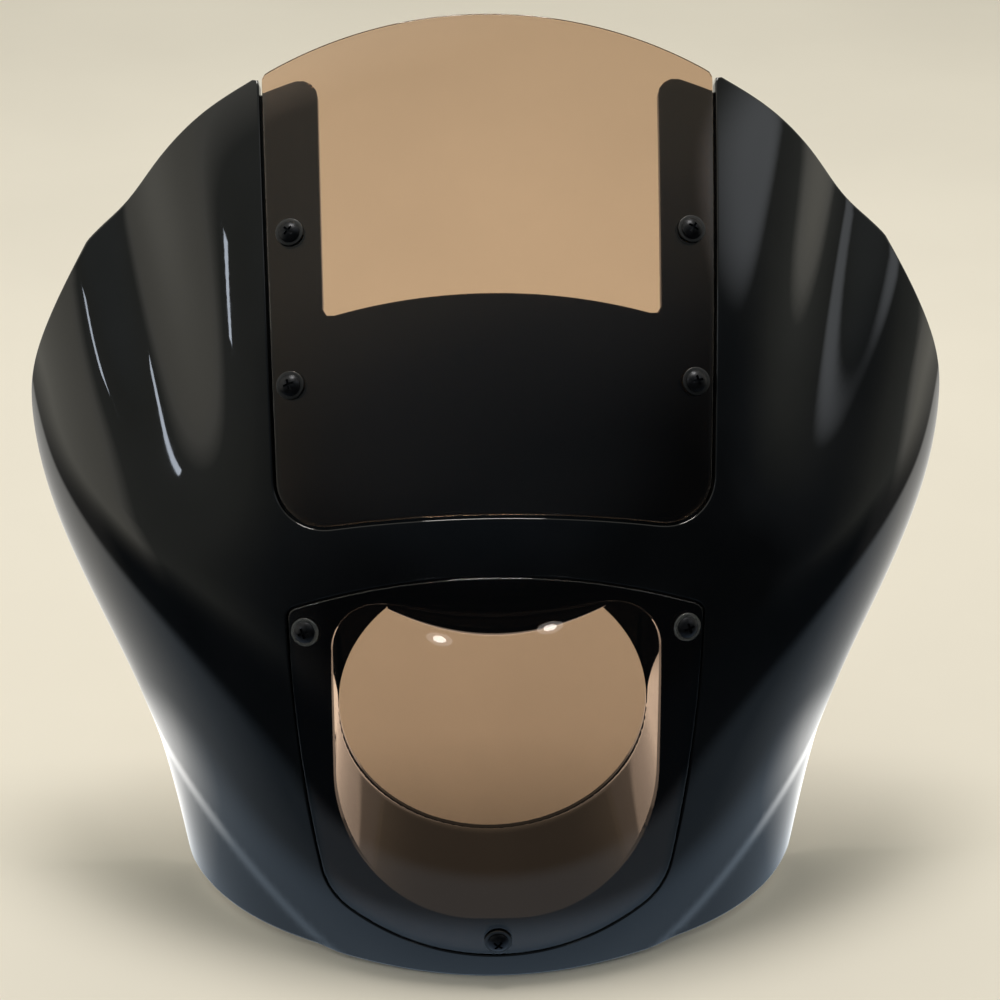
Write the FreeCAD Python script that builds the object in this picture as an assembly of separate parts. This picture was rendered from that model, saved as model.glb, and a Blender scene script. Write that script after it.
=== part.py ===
import FreeCAD, Part
import math
import os

# Quarter fairing of a motorcycle: a moulded shell with a flush windshield and a flush headlight
# lens, each held by screws in rubber well nuts. Millimetres. X is to the right as seen from the
# front, Y to the rear and Z up. The origin is the centre of the headlight hole, on the front face
# of the pocket's rear panel. The form is drawn with the lens almost upright and then leaned back,
# as it stands on the motorcycle, until the headlight's axis is level.
REST_LEAN = 5.1
HOLE_DROP = 4.9

# Outer form of the shell, station by station from the bottom edge to above the windshield.
STATION_Z = (-150, -122, -96, -20, 50, 110, 150, 190, 225, 250, 300, 360)
PROFILE_Y = (-75, -86, -91, -85.5, -72, -53, -33.5, -11.5, 10.5, 28, 67, 123)
HALF_AXIS = (169, 170, 174, 195, 226, 248.5, 257, 265, 270, 273, 277, 280)
SECTION_DEPTH = (160, 160, 160, 158, 156, 156, 157, 158, 159, 160, 160, 160)
EDGE_X = (164, 165.5, 169.5, 190.3, 221, 242.8, 246.6, 234.2, 215.5, 201, 191, 188)
BOTTOM_Z = -122.0
EAR_Z = -106.0
CROWN_Z = 358.0
CROWN_SIDE_Z = 335.0

# Valley between the domed centre and the side wing.
VALLEY_DEPTH = 24.0
VALLEY_START_Z = 85.0
VALLEY_FULL_Z = 245.0
VALLEY_X = 160.0
VALLEY_Z = 130.0
VALLEY_LEAN = 0.27
VALLEY_WIDTH = 28.0

# Crease that sets off the flared ear at each lower corner.
CREASE_TOP = (182.0, -34.0)
CREASE_FOOT = (88.0, -118.0)
CREASE_SLOPE = 0.45
CREASE_WIDTH = 9.0
EAR_RADIUS = 9.0

# Walls, panels and seats, measured square to the surface.
WALL = 4.0
PANEL = 3.0
FLANGE = 1.2
SEAT_CLEARANCE = 0.5
FUSE_DEPTH = 0.6
PROUD = 4.0

# Windshield, drawn in a plane that leans back with it.
SCREEN_TILT = 35.0
SCREEN_FOOT = 71.2
SCREEN_FOOT_RISE = 5.9
SCREEN_CORNER = 313.0
SCREEN_CROWN = 344.0
SCREEN_FOOT_HALF = 110.0
SCREEN_TOP_HALF = 118.0
SCREEN_FOOT_RADIUS = 25.0
SCREEN_TOP_RADIUS = 5.0
SCREEN_GAP = 1.5
PRONG_CORNER = 302.5
PRONG_CROWN = 325.0
PRONG_RADIUS = 10.0
NOTCH_FOOT = 179.5
NOTCH_FOOT_RISE = 11.0
NOTCH_FOOT_HALF = 87.0
NOTCH_TOP_HALF = 91.5
NOTCH_RADIUS = 4.0
SCREEN_SCREW_X = 103.0
SCREEN_SCREWS = (145.5, 225.0)

# Upper outline of the wings, from the dip beside the wing to the windshield's corner.
WING_EDGE = ((219.5, 222.5), (204.0, 237.0), (194.5, 245.0), (181.0, 262.0), (166.5, 281.0), (148.0, 298.0))

# Headlight lens, drawn in a plane that leans back a little.
LENS_TILT = 10.0
LENS_FOOT = -120.0
LENS_CORNER = 66.0
LENS_CROWN = 85.5
LENS_LOW_HALF = 88.5
LENS_LOW = -88.0
LENS_SIDE_BOW = 3.8
LENS_LOW_RADIUS = 42.0
LENS_TOP_RADIUS = 6.0
LENS_GAP = 0.8
LENS_SCREW_INSET = 9.0
LENS_SCREW_DROP = 10.4

# Headlight pocket behind the lens.
HOLE_RADIUS = 82.5
HOLE_MARGIN = 1.2
POCKET_FRONT = -90.0
POCKET_MARGIN = 2.0
POCKET_TOP = 84.0
POCKET_FLOOR = -85.0
POCKET_TOP_RADIUS = 25.0
POCKET_LOW_RADIUS = 72.0
POCKET_WALL = 3.0
BRACKET_HOLE = 6.5
BRACKET_X = 72.0
BRACKET_Z = 68.0

# Rolled visor that hangs over the headlight.
VISOR_RADIUS = 19.0
VISOR_SPAN = 63.0
VISOR_HALF = 55.0
VISOR_WALL = 2.5
VISOR_TURN = 120.0
VISOR_LAP = 7.0

# Fasteners.
SCREW_DIAMETER = 5.0
SCREW_LENGTH = 20.0
HEAD_DIAMETER = 11.0
HEAD_HEIGHT = 3.2
HEAD_RIM = 0.8
RECESS_SPAN = 5.6
RECESS_WIDTH = 1.2
RECESS_DEPTH = 2.0
WASHER_DIAMETER = 14.5
WASHER_THICKNESS = 1.2
WASHER_LIFT = 0.15
SCREW_CLEARANCE = 0.4
PANEL_HOLE = 7.0
NUT_BODY = 9.6
NUT_CLEARANCE = 0.2
NUT_FLANGE = 15.0
NUT_BULGE = 12.0
NUT_LENGTH = 15.0
NUT_ROOM = 3.5
INSERT_DIAMETER = 7.2
INSERT_LENGTH = 6.0
INSERT_CLEARANCE = 0.1

# Fineness of the grids that the curved skins pass through.
GRID_COLUMNS = 18
GRID_ROWS = 32
VISOR_COLUMNS = 12
VISOR_ROWS = 9

SEAT_DEPTH = PANEL + FLANGE + SEAT_CLEARANCE
SEAT_BACK = SEAT_DEPTH + WALL
POCKET_HALF = HOLE_RADIUS + POCKET_MARGIN
LENS_SCREW_X = POCKET_HALF + POCKET_WALL + NUT_BULGE / 2 + NUT_ROOM
LENS_TOP_HALF = LENS_SCREW_X + LENS_SCREW_INSET
REACH = 400.0


def natural_spline(places, values):
    """Return the natural cubic curve through the values at the places."""
    count = len(places)
    gaps = [places[i + 1] - places[i] for i in range(count - 1)]
    slopes = [(values[i + 1] - values[i]) / gaps[i] for i in range(count - 1)]
    bends = [0.0] * count
    carries = [0.0] * count
    sums = [0.0] * count
    for i in range(1, count - 1):
        pivot = 2 * (gaps[i - 1] + gaps[i]) - gaps[i - 1] * carries[i - 1]
        carries[i] = gaps[i] / pivot
        sums[i] = (6 * (slopes[i] - slopes[i - 1]) - gaps[i - 1] * sums[i - 1]) / pivot
    for i in range(count - 2, 0, -1):
        bends[i] = sums[i] - carries[i] * bends[i + 1]

    def value(place):
        i = 0
        while i < count - 2 and place > places[i + 1]:
            i += 1
        step = place - places[i]
        gap = gaps[i]
        slope = slopes[i] - gap * (2 * bends[i] + bends[i + 1]) / 6
        cubic = (bends[i + 1] - bends[i]) / (6 * gap)
        return values[i] + step * (slope + step * (bends[i] / 2 + step * cubic))

    return value


profile_y = natural_spline(STATION_Z, PROFILE_Y)
half_axis = natural_spline(STATION_Z, HALF_AXIS)
section_depth = natural_spline(STATION_Z, SECTION_DEPTH)
edge_x = natural_spline(STATION_Z, EDGE_X)


def ease(share):
    """Blend smoothly from 0 to 1."""
    share = min(max(share, 0.0), 1.0)
    return share * share * (3 - 2 * share)


def valley(x, z):
    """How far the valley beside the wing sinks back."""
    depth = VALLEY_DEPTH * ease((z - VALLEY_START_Z) / (VALLEY_FULL_Z - VALLEY_START_Z))
    place = VALLEY_X + (z - VALLEY_Z) * VALLEY_LEAN
    return depth * math.exp(-(((x - place) / VALLEY_WIDTH) ** 2))


def ear_lift(x, z):
    """How far the ear outside the crease comes forward."""
    run = CREASE_TOP[0] - CREASE_FOOT[0]
    rise = CREASE_TOP[1] - CREASE_FOOT[1]
    outside = ((x - CREASE_TOP[0]) * rise - (z - CREASE_TOP[1]) * run) / math.hypot(run, rise)
    return CREASE_SLOPE * CREASE_WIDTH * math.log1p(math.exp(outside / CREASE_WIDTH))


def front_y(x, z):
    """Depth of the outer surface at a place in the front view."""
    x = abs(x)
    share = min(x / half_axis(z), 0.999)
    dome = section_depth(z) * (1 - math.sqrt(1 - share * share))
    return profile_y(z) + dome + valley(x, z) - ear_lift(x, z)


def outward(x, z):
    """Unit normal of the outer surface, pointing to the front."""
    step = 0.05
    across = (front_y(x + step, z) - front_y(x - step, z)) / (2 * step)
    along = (front_y(x, z + step) - front_y(x, z - step)) / (2 * step)
    normal = FreeCAD.Vector(across, -1, along)
    return normal.normalize()


def skin_point(x, z, depth):
    """Point that lies a given depth behind the outer surface."""
    return FreeCAD.Vector(x, front_y(x, z), z) - outward(x, z) * depth


def patch_place(across, up):
    """Front-view place on the shell for shares from edge to edge and from bottom to crown."""
    centre_z = BOTTOM_Z + (CROWN_Z - BOTTOM_Z) * up
    side_z = EAR_Z + (CROWN_SIDE_Z - EAR_Z) * up
    return across * edge_x(side_z), centre_z + (side_z - centre_z) * across * across


def surface_through(rows):
    """Smooth surface through a grid of points."""
    surface = Part.BSplineSurface()
    surface.interpolate(rows)
    return surface


def skin_surface(depth):
    """Smooth surface that follows the outer form at a depth."""
    rows = []
    for column in range(-GRID_COLUMNS, GRID_COLUMNS + 1):
        across = math.sin(math.pi / 2 * column / GRID_COLUMNS)
        places = [patch_place(across, row / GRID_ROWS) for row in range(GRID_ROWS + 1)]
        rows.append([skin_point(x, z, depth) for x, z in places])
    return surface_through(rows)


def solid_between(front, back):
    """Closed solid between two surfaces with matching borders."""
    faces = [front.toShape(), back.toShape()]
    u_first, u_last, v_first, v_last = front.bounds()
    back_u_first, back_u_last, back_v_first, back_v_last = back.bounds()
    for mine, other in ((u_first, back_u_first), (u_last, back_u_last)):
        faces.append(Part.makeRuledSurface(front.uIso(mine).toShape(), back.uIso(other).toShape()))
    for mine, other in ((v_first, back_v_first), (v_last, back_v_last)):
        faces.append(Part.makeRuledSurface(front.vIso(mine).toShape(), back.vIso(other).toShape()))
    shell = Part.makeShell(faces)
    shell.sewShape()
    solid = Part.makeSolid(shell)
    if solid.Volume < 0:
        solid.reverse()
    return solid


def skin(outer_depth, inner_depth):
    """Solid layer of the form between two depths."""
    return solid_between(skin_surface(outer_depth), skin_surface(inner_depth))


def plane_point(tilt, x, along, height):
    """Point given in a plane that leans back by a tilt, at a height in front of it."""
    angle = math.radians(tilt)
    y = along * math.sin(angle) - height * math.cos(angle)
    z = along * math.cos(angle) + height * math.sin(angle)
    return FreeCAD.Vector(x, y, z)


def prism(tilt, path, radii):
    """Solid bounded by a closed path of lines and arcs, drawn in a leaning plane.

    Each item of the path is a corner, or a pair of an arc's middle point and its end corner.
    Radii maps a corner's place to the radius that rounds it."""
    to_plane = [tuple(plane_point(tilt, x, along, -REACH) for x, along in item) for item in path]
    edges = []
    last = to_plane[-1][-1]
    for item in to_plane:
        if len(item) == 2:
            edges.append(Part.Arc(last, item[0], item[1]).toShape())
        else:
            edges.append(Part.LineSegment(last, item[0]).toShape())
        last = item[-1]
    way = plane_point(tilt, 0, 0, REACH) - plane_point(tilt, 0, 0, -REACH)
    solid = Part.Face(Part.Wire(edges)).extrude(way)
    for (x, along), radius in radii.items():
        foot = plane_point(tilt, x, along, -REACH)
        corners = [edge for edge in solid.Edges if edge_stands_at(edge, foot, way)]
        solid = solid.makeFillet(radius, corners)
    return solid


def edge_stands_at(edge, foot, way):
    """Whether an edge of a prism is the one that stands on a point."""
    ends = [vertex.Point for vertex in edge.Vertexes]
    if len(ends) != 2:
        return False
    return any((a - foot).Length < 1e-3 and (b - foot - way).Length < 1e-3 for a, b in (ends, ends[::-1]))


def screen_prism(grow, top_radius):
    """Prism of the windshield's outline, grown outwards by a margin."""
    foot = SCREEN_FOOT - grow
    low = SCREEN_FOOT_HALF + grow
    high = SCREEN_TOP_HALF + grow
    corner = SCREEN_CORNER + grow
    crown = SCREEN_CROWN + grow
    path = [((high, corner),), ((0, crown), (-high, corner)), ((-low, foot),),
            ((0, foot + SCREEN_FOOT_RISE), (low, foot))]
    radii = {(side * low, foot): SCREEN_FOOT_RADIUS + grow for side in (1, -1)}
    if top_radius:
        radii.update({(side * high, corner): top_radius for side in (1, -1)})
    return prism(SCREEN_TILT, path, radii)


def lens_prism(grow):
    """Prism of the lens's outline, grown outwards by a margin."""
    top = LENS_TOP_HALF + grow
    low = LENS_LOW_HALF + grow
    corner = LENS_CORNER + grow
    crown = LENS_CROWN + grow
    foot = LENS_FOOT - grow
    side = (top + low) / 2 + LENS_SIDE_BOW
    middle = (corner + LENS_LOW) / 2
    path = [((side, middle), (top, corner)), ((0, crown), (-top, corner)),
            ((-side, middle), (-low, LENS_LOW)), ((0, foot), (low, LENS_LOW))]
    radii = {(side * low, LENS_LOW): LENS_LOW_RADIUS + grow for side in (1, -1)}
    radii.update({(side * top, corner): LENS_TOP_RADIUS + grow for side in (1, -1)})
    return prism(LENS_TILT, path, radii)


def top_trim():
    """Block that takes away all that lies above the wings' upper outline and the windshield's top."""
    angle = math.radians(SCREEN_TILT)
    edge_points = []
    for x, z in WING_EDGE:
        along = front_y(x, z) * math.sin(angle) + z * math.cos(angle)
        edge_points.append((x, along))
    edge_points.append((SCREEN_TOP_HALF + SCREEN_GAP, SCREEN_CORNER))
    right = [plane_point(SCREEN_TILT, x, along, -REACH) for x, along in edge_points]
    left = [plane_point(SCREEN_TILT, -x, along, -REACH) for x, along in edge_points]
    crown = plane_point(SCREEN_TILT, 0, SCREEN_CROWN, -REACH)
    wide = edge_points[0][0] + WALL * 10
    far = SCREEN_CROWN + WALL * 20
    start = edge_points[0][1]
    frame = [plane_point(SCREEN_TILT, x, along, -REACH) for x, along in
             ((wide, start), (wide, far), (-wide, far), (-wide, start))]
    edges = [curve_through(right), Part.Arc(right[-1], crown, left[-1]).toShape(), curve_through(left[::-1])]
    corners = [left[0]] + frame[::-1] + [right[0]]
    edges += [Part.LineSegment(a, b).toShape() for a, b in zip(corners, corners[1:])]
    way = plane_point(SCREEN_TILT, 0, 0, REACH) - plane_point(SCREEN_TILT, 0, 0, -REACH)
    return Part.Face(Part.Wire(edges)).extrude(way)


def curve_through(points):
    """Smooth edge through points."""
    curve = Part.BSplineCurve()
    curve.interpolate(points)
    return curve.toShape()


def screen_seat_prism():
    """The windshield's seat outline: a foot and two prongs that stop below the windshield's top."""
    grow = SCREEN_GAP + WALL
    foot = SCREEN_FOOT - grow
    low = SCREEN_FOOT_HALF + grow
    high = SCREEN_TOP_HALF + grow
    path = [((high, PRONG_CORNER),), ((0, PRONG_CROWN), (-high, PRONG_CORNER)), ((-low, foot),),
            ((0, foot + SCREEN_FOOT_RISE), (low, foot))]
    radii = {(side * low, foot): SCREEN_FOOT_RADIUS + grow for side in (1, -1)}
    outline = prism(SCREEN_TILT, path, radii).cut(notch())
    standing = [edge for edge in outline.Edges if len(edge.Vertexes) == 2 and edge.Length > 2 * REACH - 1]
    prong_corners = sorted(standing, key=lambda edge: edge.CenterOfMass.z)[-4:]
    tips = sorted(prong_corners, key=lambda edge: abs(edge.CenterOfMass.x))[:2]
    return outline.makeFillet(PRONG_RADIUS, tips)


def notch():
    """See-through notch between the prongs, open at the top."""
    top = SCREEN_CROWN + PROUD
    path = [((NOTCH_TOP_HALF, top),), ((-NOTCH_TOP_HALF, top),), ((-NOTCH_FOOT_HALF, NOTCH_FOOT),),
            ((0, NOTCH_FOOT + NOTCH_FOOT_RISE), (NOTCH_FOOT_HALF, NOTCH_FOOT))]
    radii = {(side * NOTCH_FOOT_HALF, NOTCH_FOOT): NOTCH_RADIUS for side in (1, -1)}
    return prism(SCREEN_TILT, path, radii)


def rounded_section(half, floor, top, floor_radius, top_radius):
    """Closed outline of an upright box section with rounded corners, in the plane Y = 0."""
    corners = [(half, floor), (half, top), (-half, top), (-half, floor)]
    wire = Part.makePolygon([FreeCAD.Vector(x, 0, z) for x, z in corners + corners[:1]])
    block = Part.Face(wire).extrude(FreeCAD.Vector(0, 1, 0))
    for z, radius in ((top, top_radius), (floor, floor_radius)):
        standing = [edge for edge in block.Edges if all(abs(v.Z - z) < 1e-3 for v in edge.Vertexes)
                    and abs(edge.Vertexes[0].X - edge.Vertexes[-1].X) < 1e-3]
        block = block.makeFillet(radius, standing)
    return min(block.Faces, key=lambda face: face.CenterOfMass.y).OuterWire


def pocket_block(grow, behind_panel):
    """Block with the pocket's outline, from in front of the lens seat to the tilted rear panel."""
    front = rounded_section(POCKET_HALF + grow, POCKET_FLOOR - grow, POCKET_TOP + grow,
                            POCKET_LOW_RADIUS + grow, POCKET_TOP_RADIUS + grow)
    reach = HOLE_RADIUS + HOLE_MARGIN + grow
    rear = rounded_section(reach, -reach, reach, reach - HOLE_MARGIN / 4, POCKET_TOP_RADIUS + grow)
    front.translate(FreeCAD.Vector(0, POCKET_FRONT, 0))
    rear.translate(FreeCAD.Vector(0, behind_panel, 0))
    rear = drawn_from_rest(rear)
    return Part.makeLoft([front, rear], True, True)


def drawn_from_rest(shape):
    """Bring a shape from the frame of the finished part to the frame the form is drawn in."""
    copy = shape.copy()
    copy.rotate(FreeCAD.Vector(), FreeCAD.Vector(1, 0, 0), REST_LEAN)
    copy.translate(FreeCAD.Vector(0, 0, -HOLE_DROP))
    return copy


def at_rest(shape):
    """Lean a shape back from the frame it is drawn in to the frame of the finished part."""
    copy = shape.copy()
    copy.translate(FreeCAD.Vector(0, 0, HOLE_DROP))
    copy.rotate(FreeCAD.Vector(), FreeCAD.Vector(1, 0, 0), -REST_LEAN)
    return copy


def visor():
    """Rolled lip that hangs from the lens seat over the headlight."""
    front_rows = []
    back_rows = []
    for column in range(-VISOR_COLUMNS, VISOR_COLUMNS + 1):
        x = VISOR_HALF * column / VISOR_COLUMNS
        radius = VISOR_RADIUS * (1 - (x / VISOR_SPAN) ** 2)
        lean = math.atan2(front_y(x, POCKET_TOP + 1) - front_y(x, POCKET_TOP - 1), 2)
        down = FreeCAD.Vector(0, -math.sin(lean), -math.cos(lean))
        rear = FreeCAD.Vector(0, math.cos(lean), -math.sin(lean))
        depth = SEAT_DEPTH + (WALL - VISOR_WALL) / 2
        start = FreeCAD.Vector(x, front_y(x, POCKET_TOP), POCKET_TOP) + rear * depth
        front_row = [start - down * VISOR_LAP]
        back_row = [start - down * VISOR_LAP + rear * VISOR_WALL]
        for row in range(VISOR_ROWS + 1):
            angle = math.radians(VISOR_TURN) * row / VISOR_ROWS
            spoke = down * math.sin(angle) - rear * math.cos(angle)
            front_row.append(start + rear * radius + spoke * radius)
            back_row.append(start + rear * radius + spoke * (radius - VISOR_WALL))
        front_rows.append(front_row)
        back_rows.append(back_row)
    return solid_between(surface_through(front_rows), surface_through(back_rows))


def behind(depth):
    """All that lies behind the form at a depth."""
    return skin_surface(depth).toShape().extrude(FreeCAD.Vector(0, REACH, 0))


def place_at(tilt, x, along):
    """Front-view place at which the outer surface meets a level of a leaning plane."""
    angle = math.radians(tilt)
    low, high = STATION_Z[0], STATION_Z[-1]
    while high - low > 1e-6:
        middle = (low + high) / 2
        level = front_y(x, middle) * math.sin(angle) + middle * math.cos(angle)
        low, high = (middle, high) if level < along else (low, middle)
    return x, low


def screen_places():
    """Front-view places of the windshield's screws."""
    return [place_at(SCREEN_TILT, side * SCREEN_SCREW_X, along) for side in (1, -1) for along in SCREEN_SCREWS]


def lens_places():
    """Front-view places of the lens's screws, the lower one last."""
    upper = LENS_CORNER - LENS_SCREW_DROP
    lower = LENS_FOOT + LENS_SCREW_INSET
    return [place_at(LENS_TILT, x, along) for x, along in
            ((LENS_SCREW_X, upper), (-LENS_SCREW_X, upper), (0.0, lower))]


def stand_at(shape, place):
    """Stand a shape that is drawn about Z on the outer surface, square to it."""
    x, z = place
    turn = FreeCAD.Rotation(FreeCAD.Vector(0, 0, 1), outward(x, z))
    copy = shape.copy()
    copy.Placement = FreeCAD.Placement(skin_point(x, z, 0), turn)
    return copy


def rod(diameter, low, high):
    """Round bar about Z between two heights."""
    return Part.makeCylinder(diameter / 2, high - low, FreeCAD.Vector(0, 0, low))


def turned(points):
    """Solid turned about Z from corners of its half section."""
    corners = [FreeCAD.Vector(radius, 0, height) for radius, height in points]
    section = Part.Face(Part.makePolygon(corners + corners[:1]))
    return section.revolve(FreeCAD.Vector(), FreeCAD.Vector(0, 0, 1), 360)


HEAD_SEAT = WASHER_LIFT + WASHER_THICKNESS


def screw():
    """Cross-recessed screw with a low domed head."""
    radius = HEAD_DIAMETER / 2
    rim = HEAD_SEAT + HEAD_RIM
    top = HEAD_SEAT + HEAD_HEIGHT
    bow = HEAD_HEIGHT - HEAD_RIM
    ball = (radius * radius + bow * bow) / (2 * bow)
    dome = Part.makeSphere(ball, FreeCAD.Vector(0, 0, top - ball)).common(rod(HEAD_DIAMETER, HEAD_SEAT, top))
    body = dome.fuse(rod(SCREW_DIAMETER, HEAD_SEAT - SCREW_LENGTH, rim)).removeSplitter()
    for angle in (0, 90):
        slot = Part.makeBox(RECESS_SPAN, RECESS_WIDTH, RECESS_DEPTH + HEAD_HEIGHT,
                            FreeCAD.Vector(-RECESS_SPAN / 2, -RECESS_WIDTH / 2, top - RECESS_DEPTH))
        slot.rotate(FreeCAD.Vector(), FreeCAD.Vector(0, 0, 1), angle)
        body = body.cut(slot)
    return body


def washer():
    """Flat washer under a screw's head."""
    ring = rod(WASHER_DIAMETER, WASHER_LIFT, HEAD_SEAT)
    return ring.cut(rod(SCREW_DIAMETER + SCREW_CLEARANCE, WASHER_LIFT, HEAD_SEAT))


FLANGE_TOP = -PANEL - SEAT_CLEARANCE / 2
NUT_END = FLANGE_TOP - FLANGE - NUT_LENGTH


def well_nut():
    """Rubber well nut, drawn up so that it bulges behind the seat."""
    flange_foot = FLANGE_TOP - FLANGE
    bulge_top = -SEAT_BACK - SEAT_CLEARANCE / 2
    bulge_foot = NUT_END + INSERT_LENGTH
    middle = (bulge_top + bulge_foot) / 2
    inner = (SCREW_DIAMETER + SCREW_CLEARANCE) / 2
    neck = NUT_BODY / 2
    flange = NUT_FLANGE / 2
    body = turned([(inner, FLANGE_TOP), (flange, FLANGE_TOP), (flange, flange_foot), (neck, flange_foot),
                   (neck, bulge_top), (NUT_BULGE / 2, middle), (neck, bulge_foot), (neck, NUT_END),
                   (inner, NUT_END)])
    return body.cut(rod(INSERT_DIAMETER + INSERT_CLEARANCE, NUT_END, bulge_foot))


def nut_insert():
    """Threaded brass insert at the end of a well nut."""
    sleeve = rod(INSERT_DIAMETER, NUT_END, NUT_END + INSERT_LENGTH - INSERT_CLEARANCE)
    return sleeve.cut(rod(SCREW_DIAMETER + INSERT_CLEARANCE, NUT_END, NUT_END + INSERT_LENGTH))


def fairing_shell():
    """Moulded shell with the two seats, the headlight pocket and the visor."""
    body = skin(0, WALL)
    ears = [edge for edge in body.Edges if edge_at_ear(edge)]
    body = body.makeFillet(EAR_RADIUS, ears)
    body = body.cut(top_trim())
    thick = skin(FUSE_DEPTH, SEAT_BACK)
    screen_seat = thick.common(screen_seat_prism())
    lens_seat = thick.common(lens_prism(LENS_GAP + WALL))
    pocket = behind((SEAT_DEPTH + SEAT_BACK) / 2).common(pocket_block(POCKET_WALL, POCKET_WALL))
    body = body.fuse([screen_seat, lens_seat, pocket])
    void = skin(-PROUD, SEAT_DEPTH)
    body = body.cut(void.common(screen_prism(SCREEN_GAP, 0)))
    body = body.cut(void.common(lens_prism(LENS_GAP)))
    body = body.cut(pocket_block(0, 0))
    body = body.fuse(visor())
    holes = [panel_bore(0, 0, HOLE_RADIUS)]
    holes += [panel_bore(side * BRACKET_X, BRACKET_Z, BRACKET_HOLE / 2) for side in (1, -1)]
    nut_hole = rod(NUT_BODY + NUT_CLEARANCE, NUT_END, 0)
    holes += [stand_at(nut_hole, place) for place in screen_places() + lens_places()]
    return body.cut(holes)


def panel_bore(x, z, radius):
    """Round cutter through the pocket's rear panel."""
    foot = FreeCAD.Vector(x, -POCKET_WALL / 2, z)
    return drawn_from_rest(Part.makeCylinder(radius, 2 * POCKET_WALL, foot, FreeCAD.Vector(0, 1, 0)))


def edge_at_ear(edge):
    """Whether an edge crosses the wall at a lower corner of the shell."""
    x, z = patch_place(1, 0)
    corners = [skin_point(side * x, z, 0) for side in (1, -1)]
    ends = [vertex.Point for vertex in edge.Vertexes]
    return edge.Length < 2 * WALL and any((end - corner).Length < 0.1 for end in ends for corner in corners)


def windshield():
    """Smoked windshield, flush with the shell."""
    glass = skin(0, PANEL).cut(top_trim()).common(screen_prism(0, SCREEN_TOP_RADIUS))
    return glass.cut([stand_at(rod(PANEL_HOLE, -2 * PANEL, PANEL), place) for place in screen_places()])


def headlight_lens():
    """Smoked headlight lens, flush with the shell."""
    glass = skin(0, PANEL).common(lens_prism(0))
    return glass.cut([stand_at(rod(PANEL_HOLE, -2 * PANEL, PANEL), place) for place in lens_places()])


def group(shape, places):
    """The same solid at several places."""
    return Part.makeCompound([stand_at(shape, place) for place in places])


def main():
    os.makedirs("parts", exist_ok=True)
    upper_lens = lens_places()[:2]
    lower_lens = lens_places()[2:]
    nodes = {
        "fairing_shell": fairing_shell(),
        "windshield": windshield(),
        "headlight_lens": headlight_lens(),
        "windshield_screws": group(screw(), screen_places()),
        "windshield_washers": group(washer(), screen_places()),
        "windshield_well_nuts": group(well_nut(), screen_places()),
        "windshield_nut_inserts": group(nut_insert(), screen_places()),
        "lens_screws": group(screw(), lens_places()),
        "lens_clear_washers": group(washer(), upper_lens),
        "lens_lower_washer": group(washer(), lower_lens),
        "lens_well_nuts": group(well_nut(), lens_places()),
        "lens_nut_inserts": group(nut_insert(), lens_places()),
    }
    for name, shape in nodes.items():
        shape = at_rest(shape)
        shape.exportStep("parts/" + name + ".step")
        print(name, len(shape.Solids), "solids", shape.isValid(), round(shape.Volume), "mm3")


main()
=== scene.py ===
import math

import bmesh
import bpy
import numpy as np
from bpy.props import FloatProperty, FloatVectorProperty, PointerProperty
from mathutils import Matrix, Vector
from mathutils.geometry import delaunay_2d_cdt


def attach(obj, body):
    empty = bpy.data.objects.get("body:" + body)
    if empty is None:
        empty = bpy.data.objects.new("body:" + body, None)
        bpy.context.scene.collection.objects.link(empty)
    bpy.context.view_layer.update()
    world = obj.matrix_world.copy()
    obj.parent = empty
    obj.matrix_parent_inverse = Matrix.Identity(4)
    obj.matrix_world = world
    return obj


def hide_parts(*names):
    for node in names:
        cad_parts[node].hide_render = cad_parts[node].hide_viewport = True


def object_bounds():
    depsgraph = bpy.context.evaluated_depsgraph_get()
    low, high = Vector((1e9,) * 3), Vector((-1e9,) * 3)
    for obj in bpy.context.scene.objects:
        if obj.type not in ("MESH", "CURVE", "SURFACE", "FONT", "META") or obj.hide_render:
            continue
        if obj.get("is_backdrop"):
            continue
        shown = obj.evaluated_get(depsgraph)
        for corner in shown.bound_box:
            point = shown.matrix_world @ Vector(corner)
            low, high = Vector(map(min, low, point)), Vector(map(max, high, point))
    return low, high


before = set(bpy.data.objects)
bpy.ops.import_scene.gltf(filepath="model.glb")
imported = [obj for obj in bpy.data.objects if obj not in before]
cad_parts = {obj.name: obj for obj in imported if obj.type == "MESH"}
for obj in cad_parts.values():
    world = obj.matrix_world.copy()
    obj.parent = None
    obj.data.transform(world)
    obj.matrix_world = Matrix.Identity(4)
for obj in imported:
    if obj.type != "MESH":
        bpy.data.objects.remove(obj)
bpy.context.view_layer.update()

bl_info = {
    "name": "Quarter fairing",
    "version": (1, 0, 0),
    "blender": (4, 5, 0),
    "location": "View3D > Sidebar > Fairing",
    "description": "Builds a motorcycle quarter fairing with its windshield, lens and fasteners",
    "category": "Add Mesh",
}

# Outer form, station by station from the bottom edge to above the windshield, in millimetres and in
# the frame that the form is drawn in. The finished part leans back from it.
REST_LEAN = math.radians(5.1)
HOLE_DROP = 4.9
STATION_Z = (-150, -122, -96, -20, 50, 110, 150, 190, 225, 250, 300, 360)
PROFILE_Y = (-75, -86, -91, -85.5, -72, -53, -33.5, -11.5, 10.5, 28, 67, 123)
HALF_AXIS = (169, 170, 174, 195, 226, 248.5, 257, 265, 270, 273, 277, 280)
SECTION_DEPTH = (160, 160, 160, 158, 156, 156, 157, 158, 159, 160, 160, 160)
EDGE_X = (164, 165.5, 169.5, 190.3, 221, 242.8, 246.6, 234.2, 215.5, 201, 191, 188)
BOTTOM_Z, EAR_Z = -122.0, -106.0
VALLEY_DEPTH, VALLEY_START_Z, VALLEY_FULL_Z = 24.0, 85.0, 245.0
VALLEY_X, VALLEY_Z, VALLEY_LEAN, VALLEY_WIDTH = 160.0, 130.0, 0.27, 28.0
CREASE_TOP, CREASE_FOOT = (182.0, -34.0), (88.0, -118.0)
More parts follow.
